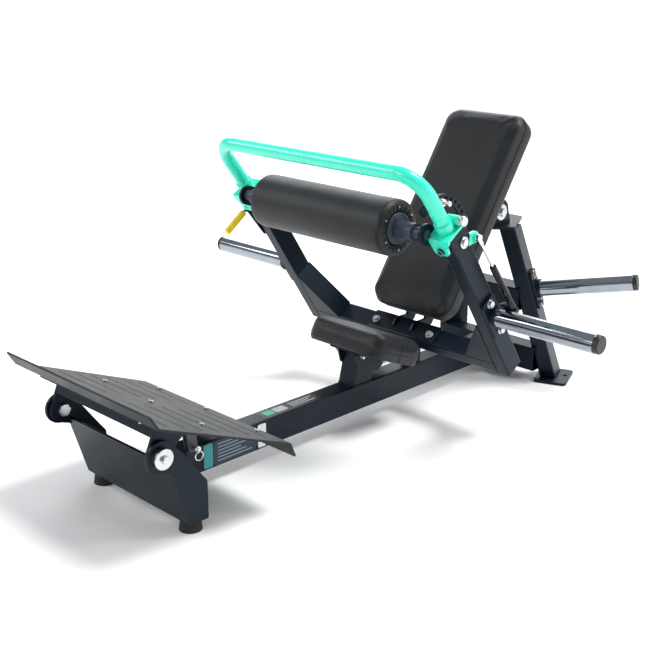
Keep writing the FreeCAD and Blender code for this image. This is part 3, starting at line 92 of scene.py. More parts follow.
# ---- floor and light -------------------------------------------------------
def area_light(name, place, target, size, power, tint=(1.0, 1.0, 1.0)):
    """Rectangular lamp of `power` watts, turned to its target."""
    data = bpy.data.lights.new(name, "AREA")
    data.shape = "RECTANGLE"
    data.size = size[0]
    data.size_y = size[1]
    data.energy = power
    data.color = tint
    lamp = bpy.data.objects.new(name, data)
    SCENE.collection.objects.link(lamp)
    lamp.location = place
    direction = Vector(target) - Vector(place)
    lamp.rotation_euler = direction.to_track_quat("-Z", "Y").to_euler()


def sun_light(name, place, power, width):
    """Sun that shines from the side of `place`; its disc is `width` degrees wide."""
    data = bpy.data.lights.new(name, "SUN")
    data.energy = power
    data.angle = math.radians(width)
    lamp = bpy.data.objects.new(name, data)
    SCENE.collection.objects.link(lamp)
    lamp.rotation_euler = (-Vector(place)).to_track_quat("-Z", "Y").to_euler()


def make_floor():
    reach = 90.0
    corners = [(-reach, -reach, 0), (reach, -reach, 0), (reach, reach, 0), (-reach, reach, 0)]
    mesh = bpy.data.meshes.new("floor")
    mesh.from_pydata(corners, [], [(0, 1, 2, 3)])
    floor = bpy.data.objects.new("floor", mesh)
    SCENE.collection.objects.link(floor)
    floor.location.z = -0.0005
    tree, shader = new_material("floor_pale")
    shader.inputs["Roughness"].default_value = 0.85
    shader.inputs["Specular IOR Level"].default_value = 0.1
    tone = ramp(tree, noise(tree, 3.0, 3.0), [(0.0, (0.87, 0.87, 0.87)), (1.0, (0.90, 0.90, 0.90))])
    tree.links.new(tone, shader.inputs["Base Color"])
    mesh.materials.append(MATERIALS["floor_pale"])


def make_world():
    """White at the horizon, darker above it, grey overhead: this is what the metal mirrors."""
    world = bpy.data.worlds.new("studio")
    world.use_nodes = True
    tree = world.node_tree
    background = tree.nodes["Background"]
    place = tree.nodes.new("ShaderNodeTexCoord")
    split = tree.nodes.new("ShaderNodeSeparateXYZ")
    tree.links.new(place.outputs["Generated"], split.inputs["Vector"])
    white = (0.97, 0.97, 0.97)
    sky = ramp(tree, split.outputs["Z"],
               [(0.0, white), (0.07, white), (0.18, (0.19, 0.20, 0.22)), (0.8, (0.40, 0.41, 0.43))])
    tree.links.new(sky, background.inputs["Color"])
    background.inputs["Strength"].default_value = 1.0
    SCENE.world = world


def make_studio():
    SCENE.view_settings.view_transform = "Standard"
    make_floor()
    make_world()
    sun_light("key", (0.25, 0.35, 1.0), 3.0, 22.0)
    area_light("back", (-2.9, 3.2, 2.7), (0.0, 0.0, 0.4), (4.4, 2.2), 110.0, (0.96, 0.98, 1.0))
    area_light("front", (-0.6, -3.2, 1.9), (-0.2, 0.0, 0.5), (1.4, 1.0), 24.0)
    area_light("pad_sheen", (-2.6, -2.3, 2.5), (0.0, 0.3, 0.6), (2.0, 1.4), 45.0)
    area_light("strip", (2.3, 1.5, 2.0), (0.1, 0.0, 0.4), (0.6, 2.2), 40.0)


# ---- shader helpers ---------------------------------------------------------
def new_material(name):
    """Node material, kept in MATERIALS. Returns its node tree and its shader."""
    material = bpy.data.materials.new(name)
    MATERIALS[name] = material
    material.use_nodes = True
    tree = material.node_tree
    return tree, tree.nodes["Principled BSDF"]


def coords(tree, stretch=(1.0, 1.0, 1.0)):
    """Object coordinates in metres, stretched along the axes."""
    place = tree.nodes.new("ShaderNodeTexCoord")
    mapping = tree.nodes.new("ShaderNodeMapping")
    mapping.inputs["Scale"].default_value = stretch
    tree.links.new(place.outputs["Object"], mapping.inputs["Vector"])
    return mapping.outputs["Vector"]


def noise(tree, scale, detail=2.0, stretch=(1.0, 1.0, 1.0), rough=0.5):
    """Cloudy noise, 0 to 1; `scale` is about the number of spots in a metre."""
    node = tree.nodes.new("ShaderNodeTexNoise")
    node.inputs["Scale"].default_value = scale
    node.inputs["Detail"].default_value = detail
    node.inputs["Roughness"].default_value = rough
    tree.links.new(coords(tree, stretch), node.inputs["Vector"])
    return node.outputs["Fac"]


def pebbles(tree, scale):
    """Distance to the nearest border between cells."""
    node = tree.nodes.new("ShaderNodeTexVoronoi")
    node.feature = "DISTANCE_TO_EDGE"
    node.inputs["Scale"].default_value = scale
    tree.links.new(coords(tree), node.inputs["Vector"])
    return node.outputs["Distance"]


def ramp(tree, value, stops):
    """Colour by value; each stop is a place from 0 to 1 and its colour."""
    node = tree.nodes.new("ShaderNodeValToRGB")
    elements = node.color_ramp.elements
    while len(elements) < len(stops):
        elements.new(0.5)
    for element, (place, colour) in zip(elements, stops):
        element.position = place
        element.color = (*colour, 1.0)
    tree.links.new(value, node.inputs["Fac"])
    return node.outputs["Color"]


def level(tree, value, low, high):
    """Maps 0..1 onto low..high."""
    node = tree.nodes.new("ShaderNodeMapRange")
    node.inputs["To Min"].default_value = low
    node.inputs["To Max"].default_value = high
    tree.links.new(value, node.inputs["Value"])
    return node.outputs["Result"]


def blend_colour(tree, factor, under, over):
    """Mixes the plain colour `over` onto the colour socket `under`."""
    node = tree.nodes.new("ShaderNodeMix")
    node.data_type = "RGBA"
    colours = [socket for socket in node.inputs if socket.type == "RGBA"]
    result = [socket for socket in node.outputs if socket.type == "RGBA"]
    tree.links.new(factor, node.inputs["Factor"])
    tree.links.new(under, colours[0])
    colours[1].default_value = (*over, 1.0)
    return result[0]


def combine(tree, operation, first, second):
    """Maths node on two sockets, of which the second may also be a number. Returns the node."""
    node = tree.nodes.new("ShaderNodeMath")
    node.operation = operation
    for value, socket in zip((first, second), node.inputs):
        if isinstance(value, float):
            socket.default_value = value
        else:
            tree.links.new(value, socket)
    return node


def rounded_normal(tree, radius, samples):
    """The surface's normal as if its edges had this radius."""
    bevel = tree.nodes.new("ShaderNodeBevel")
    bevel.samples = samples
    bevel.inputs["Radius"].default_value = radius
    return bevel.outputs["Normal"]


def edge_mask(tree):
    """White on hard edges, where the rounded normal leaves the true one."""
    geometry = tree.nodes.new("ShaderNodeNewGeometry")
    dot = tree.nodes.new("ShaderNodeVectorMath")
    dot.operation = "DOT_PRODUCT"
    tree.links.new(rounded_normal(tree, 0.0016, 4), dot.inputs[0])
    tree.links.new(geometry.outputs["Normal"], dot.inputs[1])
    away = tree.nodes.new("ShaderNodeMapRange")
    away.inputs["From Min"].default_value = 0.98
    away.inputs["From Max"].default_value = 0.84
    tree.links.new(dot.outputs["Value"], away.inputs["Value"])
    return away.outputs["Result"]


def bump(tree, shader, height, distance, strength, edge_radius):
    """Relief from a height, on edges of this radius; 0 leaves the edges sharp."""
    node = tree.nodes.new("ShaderNodeBump")
    node.inputs["Distance"].default_value = distance
    node.inputs["Strength"].default_value = strength
    tree.links.new(height, node.inputs["Height"])
    if edge_radius:
        tree.links.new(rounded_normal(tree, edge_radius, 6), node.inputs["Normal"])
    tree.links.new(node.outputs["Normal"], shader.inputs["Normal"])


def cloudy_colour(tree, shader, scale, detail, dark, light):
    """Base colour that drifts between two tones."""
    tone = ramp(tree, noise(tree, scale, detail), [(0.3, dark), (0.7, light)])
    tree.links.new(tone, shader.inputs["Base Color"])


def uneven_gloss(tree, shader, pattern, rough):
    """Roughness that follows a pattern, between two values."""
    tree.links.new(level(tree, pattern, rough[0], rough[1]), shader.inputs["Roughness"])


# ---- materials ---------------------------------------------------------------
def painted(name, dark, light, rough=(0.30, 0.44), worn=(0.10, 0.11, 0.12), coat=0.0, peel=0.00012,
            shine=0.24, tint=(1.0, 1.0, 1.0)):
    """Powder coat: cloudy colour, orange-peel bump, edges rubbed a little lighter."""
    tree, shader = new_material(name)
    colour = ramp(tree, noise(tree, 9.0, 4.0), [(0.3, dark), (0.7, light)])
    scuffs = level(tree, noise(tree, 60.0, 6.0, rough=0.7), -1.6, 1.4)
    rubbed = combine(tree, "MULTIPLY", edge_mask(tree), scuffs)
    rubbed.use_clamp = True
    tree.links.new(blend_colour(tree, rubbed.outputs["Value"], colour, worn), shader.inputs["Base Color"])
    uneven_gloss(tree, shader, noise(tree, 14.0, 5.0, stretch=(1.0, 1.0, 0.35)), rough)
    bump(tree, shader, noise(tree, 850.0), peel, 0.5, 0.0015)
    shader.inputs["Specular IOR Level"].default_value = shine
    shader.inputs["Specular Tint"].default_value = (*tint, 1.0)
    shader.inputs["Coat Weight"].default_value = coat
    shader.inputs["Coat Roughness"].default_value = 0.15


def metal(name, colour, rough, streak=(4.0, 4.0, 4.0), streaks=60.0, depth=0.00003):
    """Bare or plated metal with fine streaks and fingerprints."""
    tree, shader = new_material(name)
    shader.inputs["Metallic"].default_value = 1.0
    dark = tuple(c * 0.86 for c in colour)
    cloudy_colour(tree, shader, 30.0, 4.0, dark, colour)
    lines = noise(tree, streaks, 3.0, stretch=streak)
    uneven_gloss(tree, shader, lines, rough)
    bump(tree, shader, lines, depth, 0.4, 0.0008)


def vinyl(name, dark, light):
    """Upholstery vinyl: pebbled grain, soft sheen, slightly uneven black."""
    tree, shader = new_material(name)
    cloudy_colour(tree, shader, 7.0, 4.0, dark, light)
    uneven_gloss(tree, shader, noise(tree, 22.0, 5.0), (0.36, 0.52))
    grain = level(tree, pebbles(tree, 900.0), 0.0, 1.6)
    creases = level(tree, noise(tree, 260.0, 4.0), 0.0, 0.6)
    relief = combine(tree, "ADD", grain, creases)
    bump(tree, shader, relief.outputs["Value"], 0.00028, 0.55, 0.0)
    shader.inputs["Specular IOR Level"].default_value = 0.34
    shader.inputs["Sheen Weight"].default_value = 0.05
    shader.inputs["Sheen Roughness"].default_value = 0.4


def rubbery(name, dark, light, rough=(0.62, 0.82), grain=500.0):
    """Rubber, moulded plastic or thread: mottled, with a fine grain."""
    tree, shader = new_material(name)
    cloudy_colour(tree, shader, 40.0, 5.0, dark, light)
    uneven_gloss(tree, shader, noise(tree, 90.0, 3.0), rough)
    bump(tree, shader, noise(tree, grain, 3.0), 0.0002, 0.5, 0.001)


def board_wood(name):
    """Dark plywood; its fibres run along x."""
    tree, shader = new_material(name)
    fibres = noise(tree, 40.0, 6.0, stretch=(1.0, 8.0, 8.0))
    tone = ramp(tree, fibres, [(0.25, (0.012, 0.011, 0.010)), (0.75, (0.035, 0.031, 0.027))])
    tree.links.new(tone, shader.inputs["Base Color"])
    shader.inputs["Roughness"].default_value = 0.62
    bump(tree, shader, fibres, 0.0003, 0.6, 0.0015)


def ribbed(name, dark, light, axis, pitch):
    """Moulded plastic with fine ribs across an axis, one in each pitch."""
    rubbery(name, dark, light, rough=(0.35, 0.5))
    tree = MATERIALS[name].node_tree
    along = tree.nodes.new("ShaderNodeVectorMath")
    along.operation = "DOT_PRODUCT"
    along.inputs[1].default_value = axis
    tree.links.new(coords(tree), along.inputs[0])
    turns = combine(tree, "MULTIPLY", along.outputs["Value"], 2 * math.pi / pitch)
    wave = tree.nodes.new("ShaderNodeMath")
    wave.operation = "SINE"
    tree.links.new(turns.outputs["Value"], wave.inputs[0])
    bump(tree, tree.nodes["Principled BSDF"], wave.outputs["Value"], 0.0006, 0.7, 0.002)


def make_materials():
    """A CAD node wears the material that its slot in the record names."""
    painted("frame_black", (0.0012, 0.0040, 0.0080), (0.0024, 0.0070, 0.0130), tint=(0.70, 0.86, 1.0))
    painted("tread_black", (0.009, 0.011, 0.012), (0.015, 0.018, 0.020), rough=(0.36, 0.50), peel=0.0002)
    painted("latch_grey", (0.055, 0.060, 0.066), (0.085, 0.092, 0.100))
    painted("mint", (0.018, 0.72, 0.49), (0.030, 0.82, 0.58), rough=(0.22, 0.34),
            worn=(0.30, 0.85, 0.68), coat=0.5, peel=0.00008, shine=0.5)
    metal("chrome", (0.34, 0.37, 0.41), (0.05, 0.14), streak=(1.0, 14.0, 14.0))
    metal("zinc", (0.66, 0.66, 0.67), (0.18, 0.36), streaks=160.0, depth=0.00006)
    vinyl("vinyl", (0.0036, 0.0050, 0.0066), (0.0070, 0.0090, 0.0110))
    board_wood("board")
    rubbery("rubber", (0.006, 0.006, 0.006), (0.014, 0.014, 0.014))
    rubbery("cap_black", (0.006, 0.006, 0.007), (0.012, 0.012, 0.014), rough=(0.35, 0.5))
    painted("axle_steel", (0.030, 0.042, 0.060), (0.050, 0.066, 0.090), rough=(0.26, 0.38))
    painted("cylinder_black", (0.004, 0.004, 0.005), (0.008, 0.008, 0.010), rough=(0.12, 0.22))
    metal("rod_steel", (0.72, 0.72, 0.74), (0.08, 0.18))
    ribbed("grip_yellow", (0.92, 0.58, 0.004), (1.0, 0.72, 0.012), (0.0, -0.8, -0.6), 0.0042)
    rubbery("thread", (0.03, 0.03, 0.032), (0.06, 0.06, 0.064), grain=1500.0)
    painted("bumper_ring", (0.04, 0.20, 0.26), (0.06, 0.28, 0.34), rough=(0.2, 0.3))
    rubbery("bumper_core", (0.05, 0.006, 0.012), (0.09, 0.010, 0.020), rough=(0.3, 0.45))


def dress_cad_nodes():
    """Gives every CAD node the material of its slot."""
    slots = {row["node"]: row["material_slot"] for row in frame["record"]["subparts"]}
    for name, obj in NODES.items():
        if not obj.data.materials:
            obj.data.materials.append(None)
        for holder in obj.material_slots:
            holder.link = "OBJECT"
            holder.material = MATERIALS[slots[name]]


# ---- mesh helpers -------------------------------------------------------------
def add_mesh(name, verts, faces, material, body, smooth=True):
    """New piece that rides on a body."""
    mesh = bpy.data.meshes.new(name)
    mesh.from_pydata([tuple(v) for v in verts], [], faces)
    mesh.update()
    for polygon in mesh.polygons:
        polygon.use_smooth = smooth
    mesh.materials.append(MATERIALS[material])
    obj = bpy.data.objects.new(name, mesh)
    SCENE.collection.objects.link(obj)
    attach(obj, body)
    return obj


def ring(centre, radius, sides, first_axis, second_axis):
    """Points of a circle, from its first axis towards its second."""
    turns = [2 * math.pi * k / sides for k in range(sides)]
    return [centre + first_axis * (radius * math.cos(turn)) + second_axis * (radius * math.sin(turn))
            for turn in turns]


def skin(rings, sides, wrap=False, first=0, flip=False):
    """Faces between neighbouring rings whose vertices start at number `first`."""
    faces = []
    for i in range(rings if wrap else rings - 1):
        near = first + i * sides
        far = first + ((i + 1) % rings) * sides
        for k in range(sides):
            n = (k + 1) % sides
            face = (near + k, near + n, far + n, far + k)
            faces.append(tuple(reversed(face)) if flip else face)
    return faces


def tube_along(points, radius, closed=True, sides=10, swell=None):
    """Vertices and faces of a tube that follows a list of points; swell(i) scales it at point i."""
    verts = []
    count = len(points)
    for i, point in enumerate(points):
        ahead = points[(i + 1) % count] if closed or i < count - 1 else point
        back = points[i - 1] if closed or i > 0 else point
        tangent = (ahead - back).normalized()
        side = tangent.cross(Vector((0.13, 0.21, 0.97))).normalized()
        up = side.cross(tangent).normalized()
        verts += ring(point, radius * (swell(i) if swell else 1.0), sides, side, up)
    faces = skin(count, sides, wrap=closed)
    if not closed:
        faces.append(tuple(reversed(range(sides))))
        faces.append(tuple(range((count - 1) * sides, count * sides)))
    return verts, faces


def rounded_loop(half_x, low, high, radius, step):
    """Points of a rounded rectangle in (x, along), evenly spaced."""
    reach = half_x - radius
    corners = [(reach, low + radius, -90), (reach, high - radius, 0),
               (-reach, high - radius, 90), (-reach, low + radius, 180)]
    steps = 12
    path = []
    for centre_x, centre_along, start in corners:
        for k in range(steps + 1):
            turn = math.radians(start + 90 * k / steps)
            path.append(Vector((centre_x + radius * math.cos(turn), centre_along + radius * math.sin(turn))))
    return resample(path, step)


def resample(path, step):
    """The same closed path with evenly spaced points."""
    total = 0.0
    lengths = [0.0]
    for i, point in enumerate(path):
        total += (path[(i + 1) % len(path)] - point).length
        lengths.append(total)
    count = max(8, int(total / step))
    out = []
    i = 0
    for k in range(count):
        want = total * k / count
        while lengths[i + 1] < want:
            i += 1
        span = lengths[i + 1] - lengths[i]
        share = (want - lengths[i]) / span if span > 0 else 0.0
        out.append(path[i].lerp(path[(i + 1) % len(path)], share))
    return out


# ---- cushions --------------------------------------------------------------------
# A pad's own frame has x across, y along it from its lower end, and z out of its board.
# seam and stitch are shares of the thickness, swell is how far the cloth may move.
Pad = namedtuple("Pad", "name body matrix half_x length thick radius seam stitch swell piping")

SHELL_INSET = 0.001                  # the shell starts this much inside the pad's outline
SHELL_STEP = 0.012                   # between neighbouring points of the shell
REMESH_SIZE = 0.005
HELD_HEIGHT = 0.004                  # below this the cover is fast to its board
SEAM_REACH = 0.003                   # and as far as this above and below the seam
CLOTH_PRESSURE = 3.0
CLOTH_FRAMES = 20
RELAX_PASSES = 12


def pad_matrix(along, out, origin):
    """Matrix of a pad's frame; `along` and `out` are its y and z as angles up from the floor's y."""
    y_axis = Vector((0, math.cos(along), math.sin(along)))
    z_axis = Vector((0, math.cos(out), math.sin(out)))
    matrix = Matrix((y_axis.cross(z_axis), y_axis, z_axis)).transposed().to_4x4()
    matrix.translation = origin
    return matrix


def cushion_shell(pad):
    """Coarse closed pad with softened edges, in its own frame."""
    rows = [(-BOARD_WRAP, 0.003), (-0.6 * BOARD_WRAP, 0.0), (0.35 * pad.thick, -0.001),
            (0.75 * pad.thick, 0.0), (0.93 * pad.thick, 0.005), (pad.thick, 0.014)]
    least_radius = 0.012
    loops = []
    for height, pull in rows:
        inset = SHELL_INSET + pull
        radius = max(pad.radius - pull, least_radius)
        loop = rounded_loop(pad.half_x - inset, inset, pad.length - inset, radius, SHELL_STEP)
        loops.append([Vector((p.x, p.y, height)) for p in loop])
    count = min(len(loop) for loop in loops)
    verts = [loop[int(k * len(loop) / count)] for loop in loops for k in range(count)]
    faces = skin(len(loops), count)
    faces.append(tuple(reversed(range(count))))
    faces.append(tuple(range((len(loops) - 1) * count, len(loops) * count)))
    return verts, faces


def bake_modifiers(obj):
    """Replaces the mesh by what its modifiers make of it."""
    graph = bpy.context.evaluated_depsgraph_get()
    mesh = bpy.data.meshes.new_from_object(obj.evaluated_get(graph))
    old = obj.data
    obj.modifiers.clear()
    obj.data = mesh
    bpy.data.meshes.remove(old)


def voxel_remesh(obj):
    """Even small quads all over, which the cloth needs."""
    modifier = obj.modifiers.new("remesh", "REMESH")
    modifier.mode = "VOXEL"
    modifier.voxel_size = REMESH_SIZE
    bake_modifiers(obj)


def inflate(obj, held, cap):
    """Cloth under pressure; points that `held` accepts stay, the others move at most `cap`."""
    start = [v.co.copy() for v in obj.data.vertices]
    group = obj.vertex_groups.new(name="held")
    group.add([v.index for v in obj.data.vertices if held(v.co)], 1.0, "REPLACE")
    modifier = obj.modifiers.new("cloth", "CLOTH")
    settings = modifier.settings
    settings.quality = 5
    settings.use_pressure = True
    settings.uniform_pressure_force = CLOTH_PRESSURE
    settings.vertex_group_mass = group.name
    settings.effector_weights.gravity = 0.0
    modifier.point_cache.frame_start = 1
    modifier.point_cache.frame_end = CLOTH_FRAMES
    for step in range(1, CLOTH_FRAMES + 1):
        SCENE.frame_set(step)
    graph = bpy.context.evaluated_depsgraph_get()
    moved = [v.co.copy() for v in obj.evaluated_get(graph).data.vertices]
    obj.modifiers.clear()
    obj.vertex_groups.clear()
    for vertex, before, after in zip(obj.data.vertices, start, moved):
        shift = after - before
        if shift.length > cap:
            shift = shift * (cap / shift.length)
        vertex.co = before + shift
    SCENE.frame_set(1)


def relax_and_subdivide(obj):
    relax = obj.modifiers.new("relax", "SMOOTH")
    relax.factor = 0.5
    relax.iterations = RELAX_PASSES
    finer = obj.modifiers.new("subdivision", "SUBSURF")
    finer.levels = 1
    finer.render_levels = 1
    bake_modifiers(obj)
    for polygon in obj.data.polygons:
        polygon.use_smooth = True


def ripple(obj, thick):
    """Slight waves in the face, none at the board; nothing reaches below the cover's rim."""
    for vertex in obj.data.vertices:
        softness = max(0.0, min(1.0, vertex.co.z / thick))
        wave = mnoise.noise(vertex.co * 11.0) * 0.0007 + mnoise.noise(vertex.co * 38.0) * 0.0002
        vertex.co.z = max(vertex.co.z + wave * softness, -BOARD_WRAP)


def make_cushion(pad):
    """Foam pad under vinyl. Returns the shape of its surface in the pad's own frame."""
    verts, faces = cushion_shell(pad)
    obj = add_mesh(pad.name + "_cushion", verts, faces, "vinyl", pad.body)
    voxel_remesh(obj)
    seam = pad.thick * pad.seam
    inflate(obj, lambda co: co.z < HELD_HEIGHT or abs(co.z - seam) < SEAM_REACH, pad.swell)
    relax_and_subdivide(obj)
    ripple(obj, pad.thick)
    surface = BVHTree.FromPolygons([v.co.copy() for v in obj.data.vertices],
                                   [tuple(f.vertices) for f in obj.data.polygons])
    obj.data.transform(pad.matrix)
    obj.data.materials.clear()
    obj.data.materials.append(MATERIALS["vinyl"])
    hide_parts(pad.name + "_pad")
    return surface


def around_pad(surface, pad, height, step, lift):
    """Points round a pad at one height, on its real surface, raised by `lift`."""
    outside = 0.03
    search = 0.08
    loop = rounded_loop(pad.half_x, 0.0, pad.length, pad.radius, step)
    points = []
    for i, p in enumerate(loop):
        ahead = (loop[(i + 1) % len(loop)] - loop[i - 1]).normalized()
        outward = Vector((ahead.y, -ahead.x, 0))
        start = Vector((p.x, p.y, height)) + outward * outside
        hit = surface.ray_cast(start, -outward, search)[0]
        if hit is not None:
            points.append(hit + outward * lift)
    return points


def add_trim(name, pad, verts, faces, material):
    """Piping, seam or stitches of a pad, made in the pad's own frame."""
    trim = add_mesh(name, verts, faces, material, pad.body)
    trim.data.transform(pad.matrix)


def make_welt(surface, pad):
    """Piping round a pad."""
    points = around_pad(surface, pad, pad.thick * pad.seam, 0.004, 0.0003)
    verts, faces = tube_along(points, pad.piping, sides=8)
    add_trim(pad.name + "_welt", pad, verts, faces, "vinyl")


def make_stitches(surface, pad):
    """One short stitch for each pair of neighbouring points round the pad."""
    pitch = 0.0055
    thread_radius = 0.0005
    sewn = 0.66
    points = around_pad(surface, pad, pad.thick * pad.stitch, pitch, 0.0002)
    verts = []
    faces = []
    for start, following in zip(points, points[1:] + points[:1]):
        end = start.lerp(following, sewn)
        run = [start, (start + end) / 2, end]
        dash_verts, dash_faces = tube_along(run, thread_radius, closed=False, sides=5,
                                            swell=lambda k: 0.6 if k != 1 else 1.2)
        faces += [tuple(index + len(verts) for index in face) for face in dash_faces]
        verts += dash_verts
    add_trim(pad.name + "_stitches", pad, verts, faces, "thread")


def make_side_seam(surface, pad, side, tag):
    """Upright seam in the middle of one side face, where two pieces of cover meet."""
    low = -0.008
    rise = pad.thick - 0.002
    outside = 0.2
    steps = 23
    points = []
    for k in range(steps + 1):
        start = Vector((side * outside, pad.length / 2, low + rise * k / steps))
        hit = surface.ray_cast(start, Vector((-side, 0, 0)), outside)[0]
        if hit is not None:
            points.append(hit + Vector((side * 0.0002, 0, 0)))
    verts, faces = tube_along(points, 0.0013, closed=False, sides=8)
    add_trim(pad.name + "_seam_" + tag, pad, verts, faces, "vinyl")


def back_pad():
    """The back pad leans on the lever; its board is behind the foam."""
    thick = 0.0597
    behind = Vector((0, math.cos(-PAD_LEAN), math.sin(-PAD_LEAN)))
    low_end = Vector((0, 0.289 - MIDDLE, 0.295)) + behind * thick
    matrix = pad_matrix(math.pi / 2 - PAD_LEAN, math.pi - PAD_LEAN, low_end)
    return Pad("back", "lever", matrix, half_x=0.145, length=0.643, thick=thick, radius=0.048, seam=0.5,
               stitch=0.40, swell=0.006, piping=0.0018)


def seat_pad():
    """The seat pad lies on its board on the base."""
    out = math.pi / 2 - SEAT_SLOPE
    clear = Vector((0, math.cos(out), math.sin(out))) * 0.0003
    matrix = pad_matrix(-SEAT_SLOPE, out, Vector((0, 0.032 - MIDDLE, 0.245)) + clear)
    return Pad("seat", "base", matrix, half_x=0.138, length=0.200, thick=0.0564, radius=0.034, seam=0.2,
               stitch=0.30, swell=0.0032, piping=0.0014)


def upholster(pad):
    """Cushion, piping and stitches. Returns the cushion's surface."""
    surface = make_cushion(pad)
    make_welt(surface, pad)
    make_stitches(surface, pad)
    return surface


def make_pads():
    upholster(back_pad())
    seat = seat_pad()
    surface = upholster(seat)
    for side, tag in ((1, "left"), (-1, "right")):
        make_side_seam(surface, seat, side, tag)


# ---- roller ---------------------------------------------------------------------------
def sleeve_profile():
    """The sleeve's outline as (x, radius), from one gathered end to the other."""
    steps = 60
    shoulder = 0.014
    drop = 0.008
    body = []
    for k in range(steps + 1):
        x = -ROLLER_HALF + 2 * ROLLER_HALF * k / steps
        edge = min(1.0, (ROLLER_HALF - abs(x)) / shoulder)
        rounded = math.sqrt(max(0.0, 1 - (1 - edge) ** 2))
        body.append((x, ROLLER_RADIUS - drop * (1 - rounded)))
    end = [(0.0004, 0.0625), (0.0016, 0.0595), (0.0022, 0.0560), (0.0018, 0.0520), (0.0006, 0.0480),
           (-0.0014, 0.0440), (-0.0040, 0.0400)]
    right = [(-ROLLER_HALF - x, radius) for x, radius in reversed(end)]
    return right + body + [(ROLLER_HALF + x, radius) for x, radius in end]


def gathered(point, radius, turn):
    """The point drawn into the folds of the sleeve's end; the whole sleeve has a little slack."""
    folds = 22
    fold_depth = 0.0026
    at_end = abs(point.x) >= ROLLER_HALF - 0.006 and radius < 0.065
    near = min(1.0, (0.0655 - radius) / 0.014) if at_end else 0.0
    fold = 0.5 + 0.5 * math.cos(folds * turn + 0.6 * math.sin(3 * turn))
    depth = fold_depth * near * fold ** 5
    slack = mnoise.noise(point * 9.0) * 0.0006
    radial = Vector((0, point.y, point.z)).normalized()
    return point + radial * (slack - 0.4 * depth) - X_AXIS * math.copysign(depth, point.x)


def make_sleeve():
    """Vinyl sleeve over foam: crowned body, gathered ends round a flat end disc."""
    sides = 160
    profile = sleeve_profile()
    verts = []
    for x, radius in profile:
        for k in range(sides):
            turn = 2 * math.pi * k / sides
            point = Vector((x, radius * math.cos(turn), radius * math.sin(turn)))
            verts.append(ROLLER_CENTRE + gathered(point, radius, turn))
    faces = skin(len(profile), sides, wrap=True)
    sleeve = add_mesh("roller_cushion", verts, faces, "vinyl", "roller")
    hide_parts("roller_pad")


def make_end_disc(side, tag):
    """Steel disc with a turned rim, inside the gathered end."""
    sides = 96
    outline = [(0.0405, -0.002), (0.0400, 0.0015), (0.0375, 0.0020), (0.0350, 0.0008), (0.0240, 0.0005)]
    verts = []
    for radius, x in outline:
        centre = ROLLER_CENTRE + X_AXIS * (side * (ROLLER_HALF + x))
        verts += ring(centre, radius, sides, Y_AXIS, Z_AXIS)
    faces = skin(len(outline), sides, flip=side < 0)
    add_mesh("roller_end_disc_" + tag, verts, faces, "axle_steel", "roller")


def make_end_screws(side, tag):
    """Small domed screws round the end of the sleeve."""
    screws = 6
    screw_circle = 0.0545
    sides = 16
    outline = [(0.0026, 0.0), (0.0025, 0.0020), (0.0018, 0.0026), (0.0009, 0.0028), (0.0007, 0.0018)]
    end = ROLLER_CENTRE + X_AXIS * (side * (ROLLER_HALF - 0.0002))
    verts = []
    faces = []
    for screw in range(screws):
        turn = 2 * math.pi * (screw + 0.5) / screws
        centre = end + Vector((0, math.cos(turn), math.sin(turn))) * screw_circle
        faces += skin(len(outline), sides, first=len(verts), flip=side < 0)
        for radius, x in outline:
            verts += ring(centre + X_AXIS * (side * x), radius, sides, Y_AXIS, Z_AXIS)
        faces.append(tuple(range(len(verts) - sides, len(verts))))
    add_mesh("roller_screws_" + tag, verts, faces, "zinc", "roller")


def make_roller():
    make_sleeve()
    for side, tag in ((-1, "right"), (1, "left")):
        make_end_disc(side, tag)
        make_end_screws(side, tag)


# ---- bumper -------------------------------------------------------------------------------
def make_bumper_head():
    """Coloured ring and dark red core on the head of the gate's bumper."""
    sides = 48
    centre = X_AXIS * 0.360 + LEVER_ORIGIN + LEVER_UP * 0.488 - LEVER_BACK * 0.0580
    ring_outline = [(0.0104, -0.0010), (0.0104, 0.0006), (0.0092, 0.0012), (0.0066, 0.0012),
                    (0.0060, 0.0002)]
    core_outline = [(0.0060, 0.0002), (0.0054, 0.0004), (0.0051, -0.0010), (0.0050, -0.0028)]
    for name, outline in (("bumper_ring", ring_outline), ("bumper_core", core_outline)):
        verts = []
        for radius, rise in outline:
            verts += ring(centre - LEVER_BACK * rise, radius, sides, X_AXIS, LEVER_UP)
        add_mesh(name, verts, skin(len(outline), sides), name, "gate")


# ---- welds --------------------------------------------------------------------------------
def bead(points, radius, body, name):
    """Rippled weld bead along straight runs between the given points."""
    ripple_step = 0.0016
    dense = []
    for first, second in zip(points[:-1], points[1:]):
        steps = max(2, int((second - first).length / ripple_step))
        dense += [first.lerp(second, k / steps) for k in range(steps)]
    dense.append(points[-1])
    verts, faces = tube_along(dense, radius, closed=False, sides=8,
                              swell=lambda k: 0.86 + 0.16 * math.sin(k * 1.15))
    add_mesh(name, verts, faces, "frame_black", body)


def make_base_welds():
    """Round the foot of the seat post, and over the beam's end at its front flange."""
    half_post = 0.029
    front = 0.058 - MIDDLE
    rear = 0.130 - MIDDLE
    foot = [(-half_post, front), (half_post, front), (half_post, rear), (-half_post, rear),
            (-half_post, front)]
    bead([Vector((x, y, BEAM_TOP)) for x, y in foot], 0.0026, "base", "weld_seat_post")
    flange = -0.632 - MIDDLE
    chamfer = 0.003
    side = [(BEAM_HALF, 0.044), (BEAM_HALF, BEAM_TOP - chamfer), (BEAM_HALF - chamfer, BEAM_TOP)]
    collar = side + [(-x, z) for x, z in reversed(side)]
    bead([Vector((x, flange, z)) for x, z in collar], 0.0024, "base", "weld_beam_flange")


